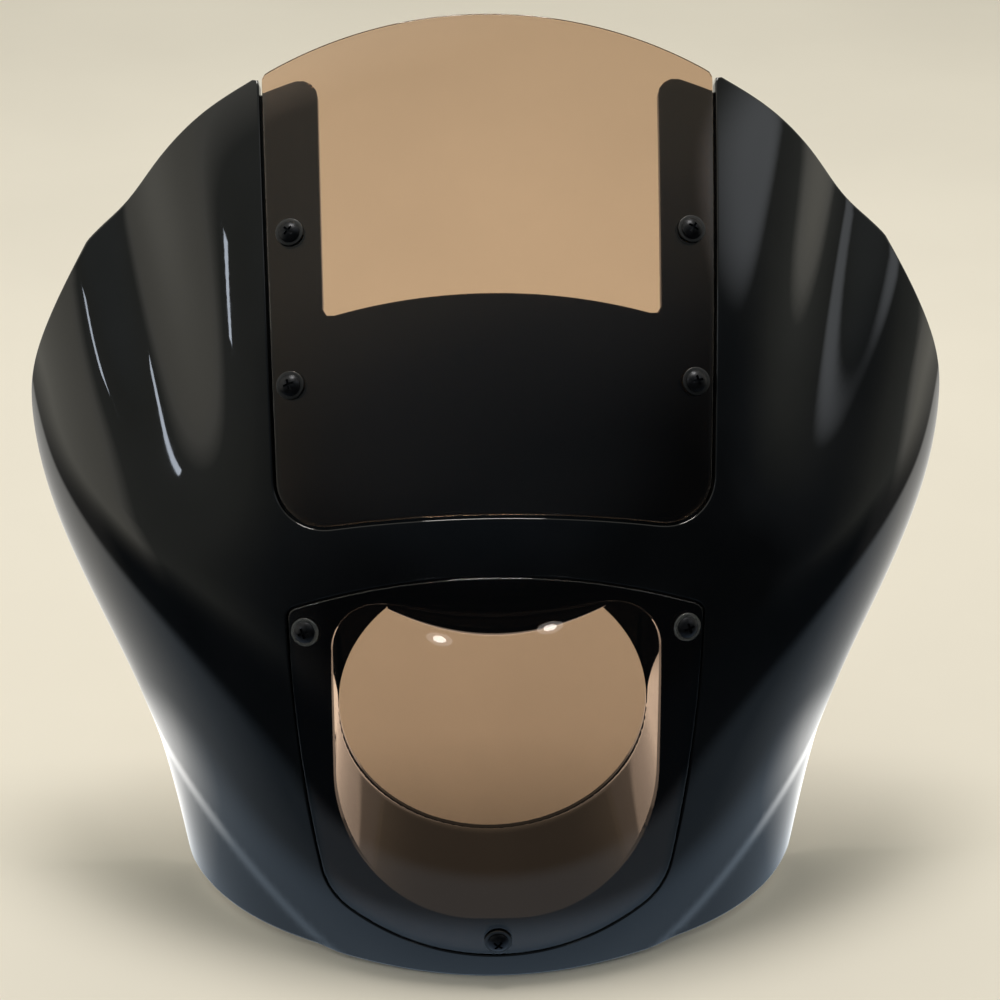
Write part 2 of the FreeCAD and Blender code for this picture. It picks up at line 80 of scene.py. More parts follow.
CREASE_SLOPE, CREASE_WIDTH, CREASE_STEP, CREASE_BAND, EAR_RADIUS = 0.45, 7.0, 3.0, 11.0, 9.0

# Depths of the walls and panels, square to the surface.
WALL, PANEL, SEAT_DEPTH, SEAT_BACK = 4.0, 3.0, 4.7, 8.7

# Outlines of the windshield, its seat and the lens, each in a plane that leans back by a tilt.
SCREEN_TILT, SCREEN_GAP = math.radians(35.0), 1.5
SCREEN_FOOT, SCREEN_FOOT_RISE, SCREEN_FOOT_HALF, SCREEN_FOOT_RADIUS = 71.2, 5.9, 110.0, 25.0
SCREEN_CORNER, SCREEN_CROWN, SCREEN_TOP_HALF, SCREEN_TOP_RADIUS = 313.0, 344.0, 118.0, 5.0
PRONG_CORNER, PRONG_CROWN, PRONG_RADIUS = 302.5, 325.0, 10.0
NOTCH_FOOT, NOTCH_FOOT_RISE, NOTCH_FOOT_HALF = 179.5, 11.0, 87.0
NOTCH_TOP, NOTCH_TOP_HALF, NOTCH_RADIUS = SCREEN_CROWN + 4.0, 91.5, 4.0
WING_EDGE = ((219.5, 222.5), (204, 237), (194.5, 245), (181, 262), (166.5, 281), (148, 298))
LENS_TILT, LENS_GAP = math.radians(10.0), 0.8
LENS_FOOT, LENS_LOW, LENS_CORNER, LENS_CROWN = -120.0, -88.0, 66.0, 85.5
LENS_LOW_HALF, LENS_TOP_HALF, LENS_SIDE_BOW = 88.5, 106.0, 3.8
LENS_LOW_RADIUS, LENS_TOP_RADIUS = 42.0, 6.0

# Headlight pocket and the rolled visor over it.
HOLE_RADIUS, HOLE_MARGIN, POCKET_WALL = 82.5, 0.05, 3.0
POCKET_FRONT, POCKET_HALF, POCKET_TOP, POCKET_FLOOR = -90.0, 84.5, 84.0, -85.0
POCKET_TOP_RADIUS, POCKET_LOW_RADIUS = 25.0, 72.0
BRACKET_HOLE, BRACKET_X, BRACKET_Z = 6.5, 72.0, 68.0
VISOR_RADIUS, VISOR_SPAN, VISOR_HALF, VISOR_WALL, VISOR_TURN, VISOR_LAP = 19.0, 63.0, 55.0, 2.5, 120.0, 7.0

# Screws: half spacing and levels on the windshield, and X and level on the lens, each in its leaning
# plane. Then their holes, and the angles past which an edge of a fastener is bevelled or sharp.
SCREEN_SCREW_X, SCREEN_SCREWS = 103.0, (145.5, 225.0)
LENS_SCREWS = ((97.0, 55.6), (-97.0, 55.6), (0.0, -111.0))
PANEL_HOLE, NUT_HOLE = 7.0, 9.8
BEVEL_ANGLE, SHARP_ANGLE = math.radians(40), math.radians(38)

# Small radii of corners in the outlines, and of edges round holes, seats, panels and the pocket's lip.
WING_RADIUS, RECESS_RADIUS, PRONG_TIP_RADIUS = 6.0, 1.5, 1.0
HOLE_ROUND, SEAT_ROUND, LENS_SEAT_ROUND, LIP_ROUND, BACK_ROUND, SHEET_BACK_ROUND = 0.3, 0.8, 0.5, 0.9, 0.5, 0.7
HEADLIGHT_HOLE_ROUND, REAR_PANEL_ROUND, REAR_PANEL_BACK_ROUND = 0.05, 0.4, 0.2

# How far bodies of the shell reach into each other, how much thicker the skin is along its recesses
# and over what width, how far the pocket's rear corners stay from a full half round, and the share of
# the pocket's wall at which its flat lip ends.
OVERLAP, LIP_EXTRA, LIP_BAND, CORNER_INSET, LIP_LAND = 0.4, 1.0, 4.0, 0.08, 0.7

# Steps of the meshes along outlines and across surfaces, in millimetres, and shares of a step.
OUTLINE_STEP, SEAT_OUTLINE_STEP, SHEET_STEP, SEAT_STEP, SEAT_BACK_STEP = 2.5, 3.0, 5.0, 6.0, 8.0
BACK_COARSENESS, ROW_PITCH, EDGE_CLEARANCE = 1.2, 0.87, 0.6

# Counts of points on curves, of rows on walls, of segments round fasteners and of rounds of a search.
BOW_POINTS, PRONG_SIDE_POINTS, WING_POINTS, BOTTOM_POINTS, SIDE_POINTS = 121, 120, 200, 80, 220
BOW_CENTRE, ROUND_CHANGE_POINTS = BOW_POINTS // 2, 6
ROUND_STEPS, BACK_ROUND_STEPS, HOLE_POINTS, HEADLIGHT_HOLE_POINTS = 4, 2, 28, 160
CORNER_POINTS, FLAT_POINTS, INNER_ROWS, OUTER_ROWS = 25, 14, 14, 8
VISOR_STATIONS, VISOR_POINTS, VISOR_EDGE_POINTS = 45, 25, 7
HEAD_SEGMENTS, DOME_RINGS, SHANK_SEGMENTS, WASHER_SEGMENTS = 64, 48, 40, 64
SKIN_HALVINGS, RULING_HALVINGS, DEPTH_ROUNDS = 50, 40, 8

# Width that stands for one radian on the flat map of the outer surface, the share of its half axis that
# a section keeps to, and how far above the last station a place on it is looked for.
ARC_SCALE, AXIS_LIMIT, SEARCH_MARGIN = 180.0, 0.999, 30.0


def natural_spline(places, values):
    """Return the natural cubic curve through the values at the places, for arrays."""
    places = np.asarray(places, float)
    values = np.asarray(values, float)
    gaps = np.diff(places)
    slopes = np.diff(values) / gaps
    system = np.eye(len(places))
    right = np.zeros(len(places))
    for i in range(1, len(places) - 1):
        system[i, i - 1:i + 2] = gaps[i - 1], 2 * (gaps[i - 1] + gaps[i]), gaps[i]
        right[i] = 6 * (slopes[i] - slopes[i - 1])
    bends = np.linalg.solve(system, right)

    def value(place):
        place = np.asarray(place, float)
        i = np.clip(np.searchsorted(places, place) - 1, 0, len(places) - 2)
        step = place - places[i]
        slope = slopes[i] - gaps[i] * (2 * bends[i] + bends[i + 1]) / 6
        bend = bends[i] / 2 + step * (bends[i + 1] - bends[i]) / (6 * gaps[i])
        return values[i] + step * (slope + step * bend)

    return value


profile_y = natural_spline(STATION_Z, PROFILE_Y)
half_axis = natural_spline(STATION_Z, HALF_AXIS)
section_depth = natural_spline(STATION_Z, SECTION_DEPTH)
edge_x = natural_spline(STATION_Z, EDGE_X)


def ease(share):
    """Blend smoothly from 0 to 1."""
    share = np.clip(share, 0.0, 1.0)
    return share * share * (3 - 2 * share)


def front_y(x, z):
    """Depth of the outer surface at places in the front view."""
    x = np.abs(x)
    share = np.minimum(x / half_axis(z), AXIS_LIMIT)
    dome = section_depth(z) * (1 - np.sqrt(1 - share * share))
    sink = VALLEY_DEPTH * ease((z - VALLEY_START_Z) / (VALLEY_FULL_Z - VALLEY_START_Z))
    valley = sink * np.exp(-((x - VALLEY_X - (z - VALLEY_Z) * VALLEY_LEAN) / VALLEY_WIDTH) ** 2)
    run, rise = CREASE_TOP[0] - CREASE_FOOT[0], CREASE_TOP[1] - CREASE_FOOT[1]
    outside = ((x - CREASE_TOP[0]) * rise - (z - CREASE_TOP[1]) * run) / math.hypot(run, rise)
    ear = CREASE_SLOPE * CREASE_WIDTH * np.log1p(np.exp(outside / CREASE_WIDTH))
    step = CREASE_STEP * ease(outside / CREASE_BAND + 0.5)
    return profile_y(z) + dome + valley - ear + step


def unit(vectors):
    """Vectors scaled to length one."""
    return vectors / np.maximum(np.linalg.norm(vectors, axis=-1, keepdims=True), 1e-12)


def outward(x, z):
    """Unit normals of the outer surface."""
    step = 0.05
    across = (front_y(x + step, z) - front_y(x - step, z)) / (2 * step)
    along = (front_y(x, z + step) - front_y(x, z - step)) / (2 * step)
    return unit(np.stack([across, -np.ones_like(across), along], axis=-1))


def lean(points):
    """Lean points from the frame that the form is drawn in to the frame of the finished part."""
    x, y, z = np.moveaxis(np.asarray(points, float), -1, 0)
    z = z + HOLE_DROP
    sine, cosine = math.sin(REST_LEAN), math.cos(REST_LEAN)
    return np.stack([x, y * cosine + z * sine, z * cosine - y * sine], axis=-1)


def unlean(points):
    """Bring points from the frame of the finished part to the frame that the form is drawn in."""
    x, y, z = np.moveaxis(np.asarray(points, float), -1, 0)
    sine, cosine = math.sin(REST_LEAN), math.cos(REST_LEAN)
    return np.stack([x, y * cosine - z * sine, y * sine + z * cosine - HOLE_DROP], axis=-1)


def lean_ways(ways):
    """Lean directions to the frame of the finished part."""
    return lean(np.asarray(ways, float)) - lean(np.zeros(3))


class Skin:
    """The fairing's outer surface, unrolled to a flat map of arc length and height."""

    @staticmethod
    def flat(x, z):
        return np.stack([ARC_SCALE * np.arcsin(np.clip(x / half_axis(z), -1, 1)), z], axis=-1)

    @staticmethod
    def front(places):
        return half_axis(places[:, 1]) * np.sin(places[:, 0] / ARC_SCALE), places[:, 1]

    @classmethod
    def place(cls, places):
        x, z = cls.front(places)
        points = np.stack([x, front_y(x, z), z], axis=-1)
        return lean(points), lean_ways(outward(x, z))

    @classmethod
    def map(cls, points):
        x, _, z = np.moveaxis(unlean(points), -1, 0)
        return cls.flat(x, z)


class RearPanel:
    """The flat rear panel of the headlight pocket."""

    @staticmethod
    def place(places):
        points = np.stack([places[:, 0], np.zeros(len(places)), places[:, 1]], axis=-1)
        return points, np.tile([0.0, -1.0, 0.0], (len(places), 1))

    @staticmethod
    def map(points):
        return points[:, [0, 2]]


def way_along(points):
    """Length of a line from its start to each of its points."""
    return np.concatenate([[0], np.cumsum(np.linalg.norm(np.diff(points, axis=0), axis=1))])


def resampled(points, spacing):
    """Points at even steps along an open line."""
    way = way_along(points)
    marks = np.linspace(0, way[-1], max(2, int(math.ceil(way[-1] / spacing)) + 1))
    return np.stack([np.interp(marks, way, points[:, k]) for k in range(points.shape[1])], axis=-1)


def arc_through(start, middle, end, count=60):
    """Points of the circular arc from start over middle to end."""
    (ax, ay), (bx, by), (cx, cy) = start, middle, end
    scale = 2 * (ax * (by - cy) + bx * (cy - ay) + cx * (ay - by))
    a, b, c = ax * ax + ay * ay, bx * bx + by * by, cx * cx + cy * cy
    x = (a * (by - cy) + b * (cy - ay) + c * (ay - by)) / scale
    y = (a * (cx - bx) + b * (ax - cx) + c * (bx - ax)) / scale
    first, mid, last = (math.atan2(py - y, px - x) for px, py in (start, middle, end))
    sweep = (last - first) % math.tau
    if (mid - first) % math.tau > sweep:
        sweep -= math.tau
    angles = first + sweep * np.linspace(0, 1, count)
    radius = math.hypot(ax - x, ay - y)
    return np.stack([x + radius * np.cos(angles), y + radius * np.sin(angles)], axis=-1)


def bow(half, level, crown):
    """Arc from one end of a symmetric span over its crown to the other end."""
    return arc_through((half, level), (0, crown), (-half, level), BOW_POINTS)


def line(start, end, count=60):
    """Points of a straight line."""
    share = np.linspace(0, 1, count)[:, None]
    return np.asarray(start, float) * (1 - share) + np.asarray(end, float) * share


def rounded(first, second, radius):
    """Join two lines that meet in a corner by a round of a radius."""
    back = unit(first[-2] - first[-1])
    ahead = unit(second[1] - second[0])
    opening = math.acos(max(-1.0, min(1.0, float(back @ ahead))))
    reach = radius / math.tan(opening / 2)
    cut_first = cut_at(first[::-1], reach)[::-1]
    cut_second = cut_at(second, reach)
    handle = 4 / 3 * math.tan((math.pi - opening) / 4) * radius
    ways = unit(cut_first[-1] - cut_first[-2]), unit(cut_second[1] - cut_second[0])
    poles = cut_first[-1], cut_first[-1] + ways[0] * handle, cut_second[0] - ways[1] * handle, cut_second[0]
    t = np.linspace(0, 1, 16)[1:-1, None]
    bend = (poles[0] * (1 - t) ** 3 + 3 * poles[1] * t * (1 - t) ** 2
            + 3 * poles[2] * t * t * (1 - t) + poles[3] * t ** 3)
    return np.concatenate([cut_first, bend, cut_second])


def cut_at(points, reach):
    """The rest of a line after a length of it is cut from its start."""
    way = way_along(points)
    keep = way > reach + 1e-6
    start = np.array([np.interp(reach, way, points[:, k]) for k in range(points.shape[1])])
    return np.concatenate([start[None], points[keep]])


def mirrored_loop(half):
    """Closed loop from a half that runs from the centre line back to it on the right side."""
    left = half[1:-1][::-1] * np.array([-1.0, 1.0])
    return np.concatenate([half, left])


def on_skin(tilt, points):
    """Flat-map places of points drawn as X and level in a leaning plane."""
    x, level = points[:, 0], points[:, 1]
    low = np.full(len(x), float(STATION_Z[0]))
    high = np.full(len(x), float(STATION_Z[-1]) + SEARCH_MARGIN)
    for _ in range(SKIN_HALVINGS):
        middle = (low + high) / 2
        under = front_y(x, middle) * math.sin(tilt) + middle * math.cos(tilt) < level
        low, high = np.where(under, middle, low), np.where(under, high, middle)
    return Skin.flat(x, low)


def even_loop(half, spacing):
    """Closed loop on the flat map from its right half, at even steps."""
    return mirrored_loop(resampled(half, spacing))


def to_centre(path, start):
    """A path as far as its point nearest to the centre line, looked for after a start."""
    return path[:start + int(np.argmin(np.abs(path[start:, 0]))) + 1]


def screen_side(grow, top):
    """Right half of the windshield's outline from a level on its side to the middle of its foot."""
    foot, low, high = SCREEN_FOOT - grow, SCREEN_FOOT_HALF + grow, SCREEN_TOP_HALF + grow
    share = (top - foot) / (SCREEN_CORNER + grow - foot)
    side = line((low + (high - low) * share, top), (low, foot))
    base = bow(low, foot, foot + SCREEN_FOOT_RISE)
    return to_centre(rounded(side, base, SCREEN_FOOT_RADIUS + grow), len(side))


def screen_half():
    """Right half of the windshield's outline, from its foot to its crown."""
    side = screen_side(0, SCREEN_CORNER)[::-1]
    side[0, 0] = 0
    crown = bow(SCREEN_TOP_HALF, SCREEN_CORNER, SCREEN_CROWN)
    path = to_centre(rounded(side, crown, SCREEN_TOP_RADIUS), len(side))
    path[-1, 0] = 0
    return path


def seat_half(grow):
    """Right half of the windshield seat's outline, from its foot over the prong to the notch's foot."""
    high, low, foot = SCREEN_TOP_HALF + grow, SCREEN_FOOT_HALF + grow, SCREEN_FOOT - grow
    crown = bow(high, PRONG_CORNER, PRONG_CROWN)
    side = line((low, foot), (high, PRONG_CORNER), PRONG_SIDE_POINTS)
    base = bow(-low, foot, foot + SCREEN_FOOT_RISE)[BOW_CENTRE:]
    outer = rounded(rounded(base, side, SCREEN_FOOT_RADIUS + grow), crown, PRONG_TIP_RADIUS)
    share = (PRONG_CORNER - NOTCH_FOOT) / (NOTCH_TOP - NOTCH_FOOT)
    tip_half = NOTCH_FOOT_HALF + (NOTCH_TOP_HALF - NOTCH_FOOT_HALF) * share
    reached = int(np.argmax((outer[:, 0] < tip_half) & (outer[:, 1] > NOTCH_FOOT)))
    outer = outer[:reached + 1]
    notch_side = line(outer[-1], (NOTCH_FOOT_HALF, NOTCH_FOOT))
    notch_base = bow(NOTCH_FOOT_HALF, NOTCH_FOOT, NOTCH_FOOT + NOTCH_FOOT_RISE)[:BOW_CENTRE + 1]
    path = rounded(rounded(outer, notch_side, PRONG_RADIUS), notch_base, NOTCH_RADIUS)
    path[0, 0] = path[-1, 0] = 0
    return path


def lens_half(grow):
    """Right half of the lens's outline, from its foot to its crown."""
    top, low = LENS_TOP_HALF + grow, LENS_LOW_HALF + grow
    corner, crown, foot = LENS_CORNER + grow, LENS_CROWN + grow, LENS_FOOT - grow
    side_middle = ((top + low) / 2 + LENS_SIDE_BOW, (corner + LENS_LOW) / 2)
    base = bow(-low, LENS_LOW, foot)[BOW_CENTRE:]
    side = arc_through((low, LENS_LOW), side_middle, (top, corner))
    head = bow(top, corner, crown)[:BOW_CENTRE + 1]
    path = rounded(rounded(base, side, LENS_LOW_RADIUS + grow), head, LENS_TOP_RADIUS + grow)
    path[0, 0] = path[-1, 0] = 0
    return path


def wing_tip_line():
    """Upper outline of the wing on the flat map, from the side edge to the windshield's corner."""
    sine, cosine = math.sin(SCREEN_TILT), math.cos(SCREEN_TILT)
    points = [(x, float(front_y(x, z)) * sine + z * cosine) for x, z in WING_EDGE]
    points = np.array(points + [(SCREEN_TOP_HALF + SCREEN_GAP, SCREEN_CORNER)])
    way = way_along(points)
    marks = np.linspace(0, way[-1], WING_POINTS)
    curve = np.stack([natural_spline(way, points[:, k])(marks) for k in (0, 1)], axis=-1)
    return on_skin(SCREEN_TILT, curve)


def skin_half(spacing):
    """Right half of the skin's border on the flat map, and where the windshield's recess begins on it."""
    across = np.linspace(0, 1, BOTTOM_POINTS)
    bottom = Skin.flat(across * edge_x(EAR_Z), BOTTOM_Z + (EAR_Z - BOTTOM_Z) * across ** 2)
    wing = wing_tip_line()
    border = Skin.flat(edge_x(wing[:, 1]), wing[:, 1])[:, 0]
    meet = int(np.argmax(wing[:, 0] < border))
    heights = np.linspace(EAR_Z, wing[meet, 1], SIDE_POINTS)
    side = Skin.flat(edge_x(heights), heights)
    recess = on_skin(SCREEN_TILT, screen_side(SCREEN_GAP, SCREEN_CORNER))
    wing = np.concatenate([side[-1:], wing[meet + 1:-1], recess[:1]])
    free = rounded(rounded(bottom, side, EAR_RADIUS), wing, WING_RADIUS)
    whole = rounded(free, recess, RECESS_RADIUS)
    whole[0, 0] = whole[-1, 0] = 0
    line_points = resampled(whole, spacing)
    recess_start = int(np.argmin(np.linalg.norm(line_points - recess[0], axis=1)))
    return line_points, recess_start


def circle_on(surface, centre, radius):
    """Small round loop about a place on a surface, wound as a hole is."""
    point, normal = (item[0] for item in surface.place(np.asarray([centre], float)))
    side = unit(np.cross(normal, [0.0, 0.0, 1.0]))
    up = np.cross(side, normal)
    angles = -np.linspace(0, math.tau, HOLE_POINTS, endpoint=False)[:, None]
    return surface.map(point + radius * (np.cos(angles) * side + np.sin(angles) * up))


def drilled(surface, places, diameter):
    """Loops of round holes at places on a surface, each with the radius of its edge."""
    return [(circle_on(surface, place, diameter / 2), HOLE_ROUND) for place in places]


class Body:
    """Points with their normals and faces, gathered for one mesh."""

    def __init__(self):
        self.points = []
        self.normals = []
        self.faces = []
        self.count = 0

    def add(self, points, normals):
        self.points.append(points)
        self.normals.append(normals)
        self.count += len(points)
        return np.arange(self.count - len(points), self.count)

    def strip(self, upper, lower):
        """Faces between two closed rows of points."""
        following = np.roll(np.arange(len(upper)), -1)
        self.faces += np.stack([upper, lower, lower[following], upper[following]], axis=-1).tolist()

    def object(self, name, material):
        """Make the mesh object, in metres."""
        mesh = bpy.data.meshes.new(name)
        mesh.from_pydata((np.concatenate(self.points) / 1000).tolist(), [], self.faces)
        mesh.validate()
        mesh.shade_smooth()
        mesh.normals_split_custom_set_from_vertices(np.concatenate(self.normals).tolist())
        mesh.materials.append(material)
        piece = bpy.data.objects.new(name, mesh)
        bpy.context.scene.collection.objects.link(piece)
        return piece


def inside(points, loops):
    """Which points lie in the region that the loops bound."""
    result = np.zeros(len(points), bool)
    for loop in loops:
        for (ax, ay), (bx, by) in zip(loop, np.roll(loop, -1, axis=0)):
            spans = (ay > points[:, 1]) != (by > points[:, 1])
            if by != ay:
                result ^= spans & (points[:, 0] < (bx - ax) * (points[:, 1] - ay) / (by - ay) + ax)
    return result


def filled(loops, spacing):
    """Inner points and triangles that fill a region of a flat map bounded by loops."""
    edge = np.concatenate(loops)
    low, high = edge.min(axis=0), edge.max(axis=0)
    rows = np.arange(low[1], high[1], spacing * ROW_PITCH)
    grid = []
    for number, level in enumerate(rows):
        x = np.arange(low[0] + (number % 2) * spacing / 2, high[0], spacing)
        grid.append(np.stack([x, np.full(len(x), level)], axis=-1))
    grid = np.concatenate(grid)
    grid = grid[inside(grid, loops)]
    nearest = np.array([np.min(np.sum((edge - point) ** 2, axis=1)) for point in grid])
    grid = grid[nearest > (EDGE_CLEARANCE * spacing) ** 2]
    links = []
    start = 0
    for loop in loops:
        links += [(start + i, start + (i + 1) % len(loop)) for i in range(len(loop))]
        start += len(loop)
    places = np.concatenate([edge, grid])
    _, _, faces, sources, _, _ = delaunay_2d_cdt([Vector(place) for place in places], links, [], 0, 1e-7)
    names = [source[0] if source else -1 for source in sources]
    if -1 in names:
        raise RuntimeError("a border of the region crosses itself")
    triangles = np.array([[names[i] for i in face] for face in faces])
    triangles = triangles[inside(places[triangles].mean(axis=1), loops)]
    return grid, triangles


def slab(body, surface, loops, front, back, spacing, back_spacing, back_round=BACK_ROUND):
    """Closed layer of a surface between two depths, with rounded edges.

    Each loop is its places on the surface's flat map and the radius of its front edge. The first
    loop runs round the region and the others round its holes, the other way about."""
    front_loops, back_loops, front_rows, back_rows = [], [], [], []
    for places, front_round in loops:
        points, normals = surface.place(places)
        run = unit(np.roll(points, -1, axis=0) - np.roll(points, 1, axis=0))
        away = unit(np.cross(run, normals))
        radius = np.broadcast_to(np.asarray(front_round, float), (len(places),))[:, None]
        depth = back(places)[:, None] if callable(back) else np.full((len(places), 1), float(back))
        last = None
        for angle in np.linspace(0, math.pi / 2, ROUND_STEPS + 1):
            sink, shift = 1 - math.cos(angle), math.sin(angle) - 1
            spots = points - normals * (front + radius * sink) + away * radius * shift
            row = body.add(spots, normals * math.cos(angle) + away * math.sin(angle))
            if last is None:
                front_rows.append(row)
                front_loops.append(surface.map(points - away * radius))
            else:
                body.strip(last, row)
            last = row
        for angle in np.linspace(0, math.pi / 2, BACK_ROUND_STEPS + 1):
            sink, shift = 1 - math.sin(angle), math.cos(angle) - 1
            spots = points - normals * (depth - back_round * sink) + away * back_round * shift
            row = body.add(spots, away * math.cos(angle) - normals * math.sin(angle))
            body.strip(last, row)
            last = row
        back_rows.append(last)
        back_loops.append(surface.map(points - away * back_round))
    for borders, rows, step, depth, turn in ((front_loops, front_rows, spacing, front, 1),
                                             (back_loops, back_rows, back_spacing, back, -1)):
        grid, triangles = filled(borders, step)
        points, normals = surface.place(grid)
        depths = depth(grid)[:, None] if callable(depth) else depth
        inner = body.add(points - normals * depths, normals * turn)
        ids = np.concatenate(rows + [inner])
        body.faces += ids[triangles[:, ::turn]].tolist()


def wrapped(body, rows):
    """Closed ring surface through rows of points. Each row is a closed loop, and the last row joins
    the first."""
    grid = np.stack(rows)
    along = np.roll(grid, -1, axis=1) - np.roll(grid, 1, axis=1)
    down = np.roll(grid, -1, axis=0) - np.roll(grid, 1, axis=0)
    normals = unit(np.cross(unit(down), unit(along)))
    ids = [body.add(points, normal) for points, normal in zip(grid, normals)]
    for upper, lower in zip(ids, ids[1:] + ids[:1]):
        body.strip(upper, lower)


def depth_in_form(points):
    """Depth of points behind the outer surface."""
    x, z = points[:, 0].copy(), points[:, 2].copy()
    for _ in range(DEPTH_ROUNDS):
        normals = outward(x, z)
        base = np.stack([x, front_y(x, z), z], axis=-1)
        depth = np.sum((base - points) * normals, axis=1)
        x, z = points[:, 0] + normals[:, 0] * depth, points[:, 2] + normals[:, 2] * depth
    return depth


def pocket_section(half, floor, top, floor_radius, top_radius):
    """Outline of an upright box section with rounded corners, as X and Z."""
    corners = []
    for x, z, radius, first in ((half, top, top_radius, 0), (-half, top, top_radius, 90),
                                (-half, floor, floor_radius, 180), (half, floor, floor_radius, 270)):
        angles = np.radians(np.linspace(first, first + 90, CORNER_POINTS))
        centre = x - math.copysign(radius, x), z - math.copysign(radius, z)
        corners.append(np.stack([centre[0] + radius * np.cos(angles),
                                 centre[1] + radius * np.sin(angles)], axis=-1))
    result = []
    for start, end in zip(corners, corners[1:] + corners[:1]):
        result.append(start)
        result.append(line(start[-1], end[0], FLAT_POINTS)[1:-1])
    return np.concatenate(result)


def pocket_wall(grow, rear_y):
    """Front and rear loops of the pocket's wall, in the frame that the form is drawn in."""
    front = pocket_section(POCKET_HALF + grow, POCKET_FLOOR - grow, POCKET_TOP + grow,
                           POCKET_LOW_RADIUS + grow, POCKET_TOP_RADIUS + grow)
    reach = HOLE_RADIUS + HOLE_MARGIN + grow
    rear = pocket_section(reach, -reach, reach, reach - CORNER_INSET, POCKET_TOP_RADIUS + grow)
    front = np.stack([front[:, 0], np.full(len(front), POCKET_FRONT), front[:, 1]], axis=-1)
    rear = np.stack([rear[:, 0], np.full(len(rear), float(rear_y)), rear[:, 1]], axis=-1)
    return front, unlean(rear)


def at_depth(front, rear, depth):
    """Shares along the pocket's rulings at which they reach a depth behind the outer surface."""
    low, high = np.zeros(len(front)), np.ones(len(front))
    for _ in range(RULING_HALVINGS):
        middle = (low + high) / 2
        points = front + (rear - front) * middle[:, None]
        before = depth_in_form(points) < depth
        low, high = np.where(before, middle, low), np.where(before, high, middle)
    return low[:, None]


def hex_colour(text):
    """Linear colour of an sRGB hex value."""
    shares = [int(text[i:i + 2], 16) / 255 for i in (1, 3, 5)]
    return tuple(c / 12.92 if c <= 0.04045 else ((c + 0.055) / 1.055) ** 2.4 for c in shares) + (1.0,)


def add_node(tree, kind, settings=None, inputs=None, stops=()):
    """Add a node with its settings and colour stops, and set each input or link it to a socket."""
    item = tree.nodes.new(kind)
    for name, value in (settings or {}).items():
        setattr(item, name, value)
    for name, value in (inputs or {}).items():
        if isinstance(value, bpy.types.NodeSocket):
            tree.links.new(value, item.inputs[name])
        else:
            item.inputs[name].default_value = value
    for number, (place, colour) in enumerate(stops):
        ramp = item.color_ramp.elements
        stop = ramp[number] if number < len(ramp) else ramp.new(place)
        stop.position, stop.color = place, colour
    return item


def per_size(millimetres):
    """Texture scale at which one feature is this large."""
    return 1000.0 / millimetres


def patterned(name, tones, tone_size, roughness, haze_size, bump_size, bump_height, sockets=None):
    """Material with two mottled tones, uneven roughness and a fine bump, each at its size in
    millimetres, and with other sockets of its shader set."""
    material = bpy.data.materials.new(name)
    material.use_nodes = True
    tree = material.node_tree
    tree.nodes.clear()
    place = add_node(tree, "ShaderNodeTexCoord").outputs["Object"]
    tone, haze, grain = (
        add_node(tree, "ShaderNodeTexNoise",
                 inputs={"Vector": place, "Scale": per_size(size), "Detail": detail})
        for size, detail in ((tone_size, 4.0), (haze_size, 6.0), (bump_size, 2.0)))
    ramp = add_node(tree, "ShaderNodeValToRGB", inputs={"Fac": tone.outputs["Fac"]},
                    stops=((0.35, tones[0]), (0.65, tones[1])))
    rough = add_node(tree, "ShaderNodeMapRange",
                     inputs={"Value": haze.outputs["Fac"], "From Min": 0.3, "From Max": 0.7,
                             "To Min": roughness[0], "To Max": roughness[1]})
    bump = add_node(tree, "ShaderNodeBump",
                    inputs={"Height": grain.outputs["Fac"], "Strength": 1.0, "Distance": bump_height / 1000})
    shader = add_node(tree, "ShaderNodeBsdfPrincipled",
                      inputs={"Base Color": ramp.outputs["Color"], "Roughness": rough.outputs["Result"],
                              "Normal": bump.outputs["Normal"], **(sockets or {})})
    add_node(tree, "ShaderNodeOutputMaterial", inputs={"Surface": shader.outputs["BSDF"]})
    return material


def gloss_black_abs(colour):
    """Injection-moulded ABS, high gloss: deep black with sharp reflections, a faint ripple left by the
    mould and a light handling haze."""
    return patterned("gloss_black_moulded_abs", (colour, hex_colour("#0d0e10")), tone_size=45,
                     roughness=(0.02, 0.05), haze_size=18, bump_size=22, bump_height=0.006,
                     sockets={"IOR": 1.53})


def smoked_polycarbonate(name, tint):
    """Smoke-tinted polycarbonate sheet, thermoformed: clear brown-grey with polished edges, faint
    waviness and a little polishing haze."""
    deep = tuple(0.95 * share for share in tint[:3]) + (1.0,)
    return patterned(name, (tint, deep), tone_size=120, roughness=(0.0, 0.02), haze_size=25, bump_size=60,
                     bump_height=0.004, sockets={"IOR": 1.58, "Transmission Weight": 1.0})


def black_oxide_steel():
    """Black-oxide steel: near-black metal, satin, with a fine blotchy film."""
    return patterned("black_oxide_steel", (hex_colour("#1c1d20"), hex_colour("#2a2b2e")), tone_size=2.5,
                     roughness=(0.28, 0.42), haze_size=0.8, bump_size=0.5, bump_height=0.004,
                     sockets={"Metallic": 0.85})


def black_nylon():
    """Moulded nylon washer: dull black with a faint waxy sheen."""
    return patterned("black_moulded_nylon", (hex_colour("#101112"), hex_colour("#1a1b1c")), tone_size=3,
                     roughness=(0.32, 0.5), haze_size=1.0, bump_size=0.6, bump_height=0.004,
                     sockets={"IOR": 1.53})


def clear_vinyl():
    """Clear soft vinyl washer: water-clear with bright edges and a soft gloss."""
    return patterned("clear_soft_vinyl", (hex_colour("#dfe5e8"), hex_colour("#eef1f2")), tone_size=6,
                     roughness=(0.04, 0.1), haze_size=2.0, bump_size=1.5, bump_height=0.006,
                     sockets={"IOR": 1.53, "Transmission Weight": 0.93})


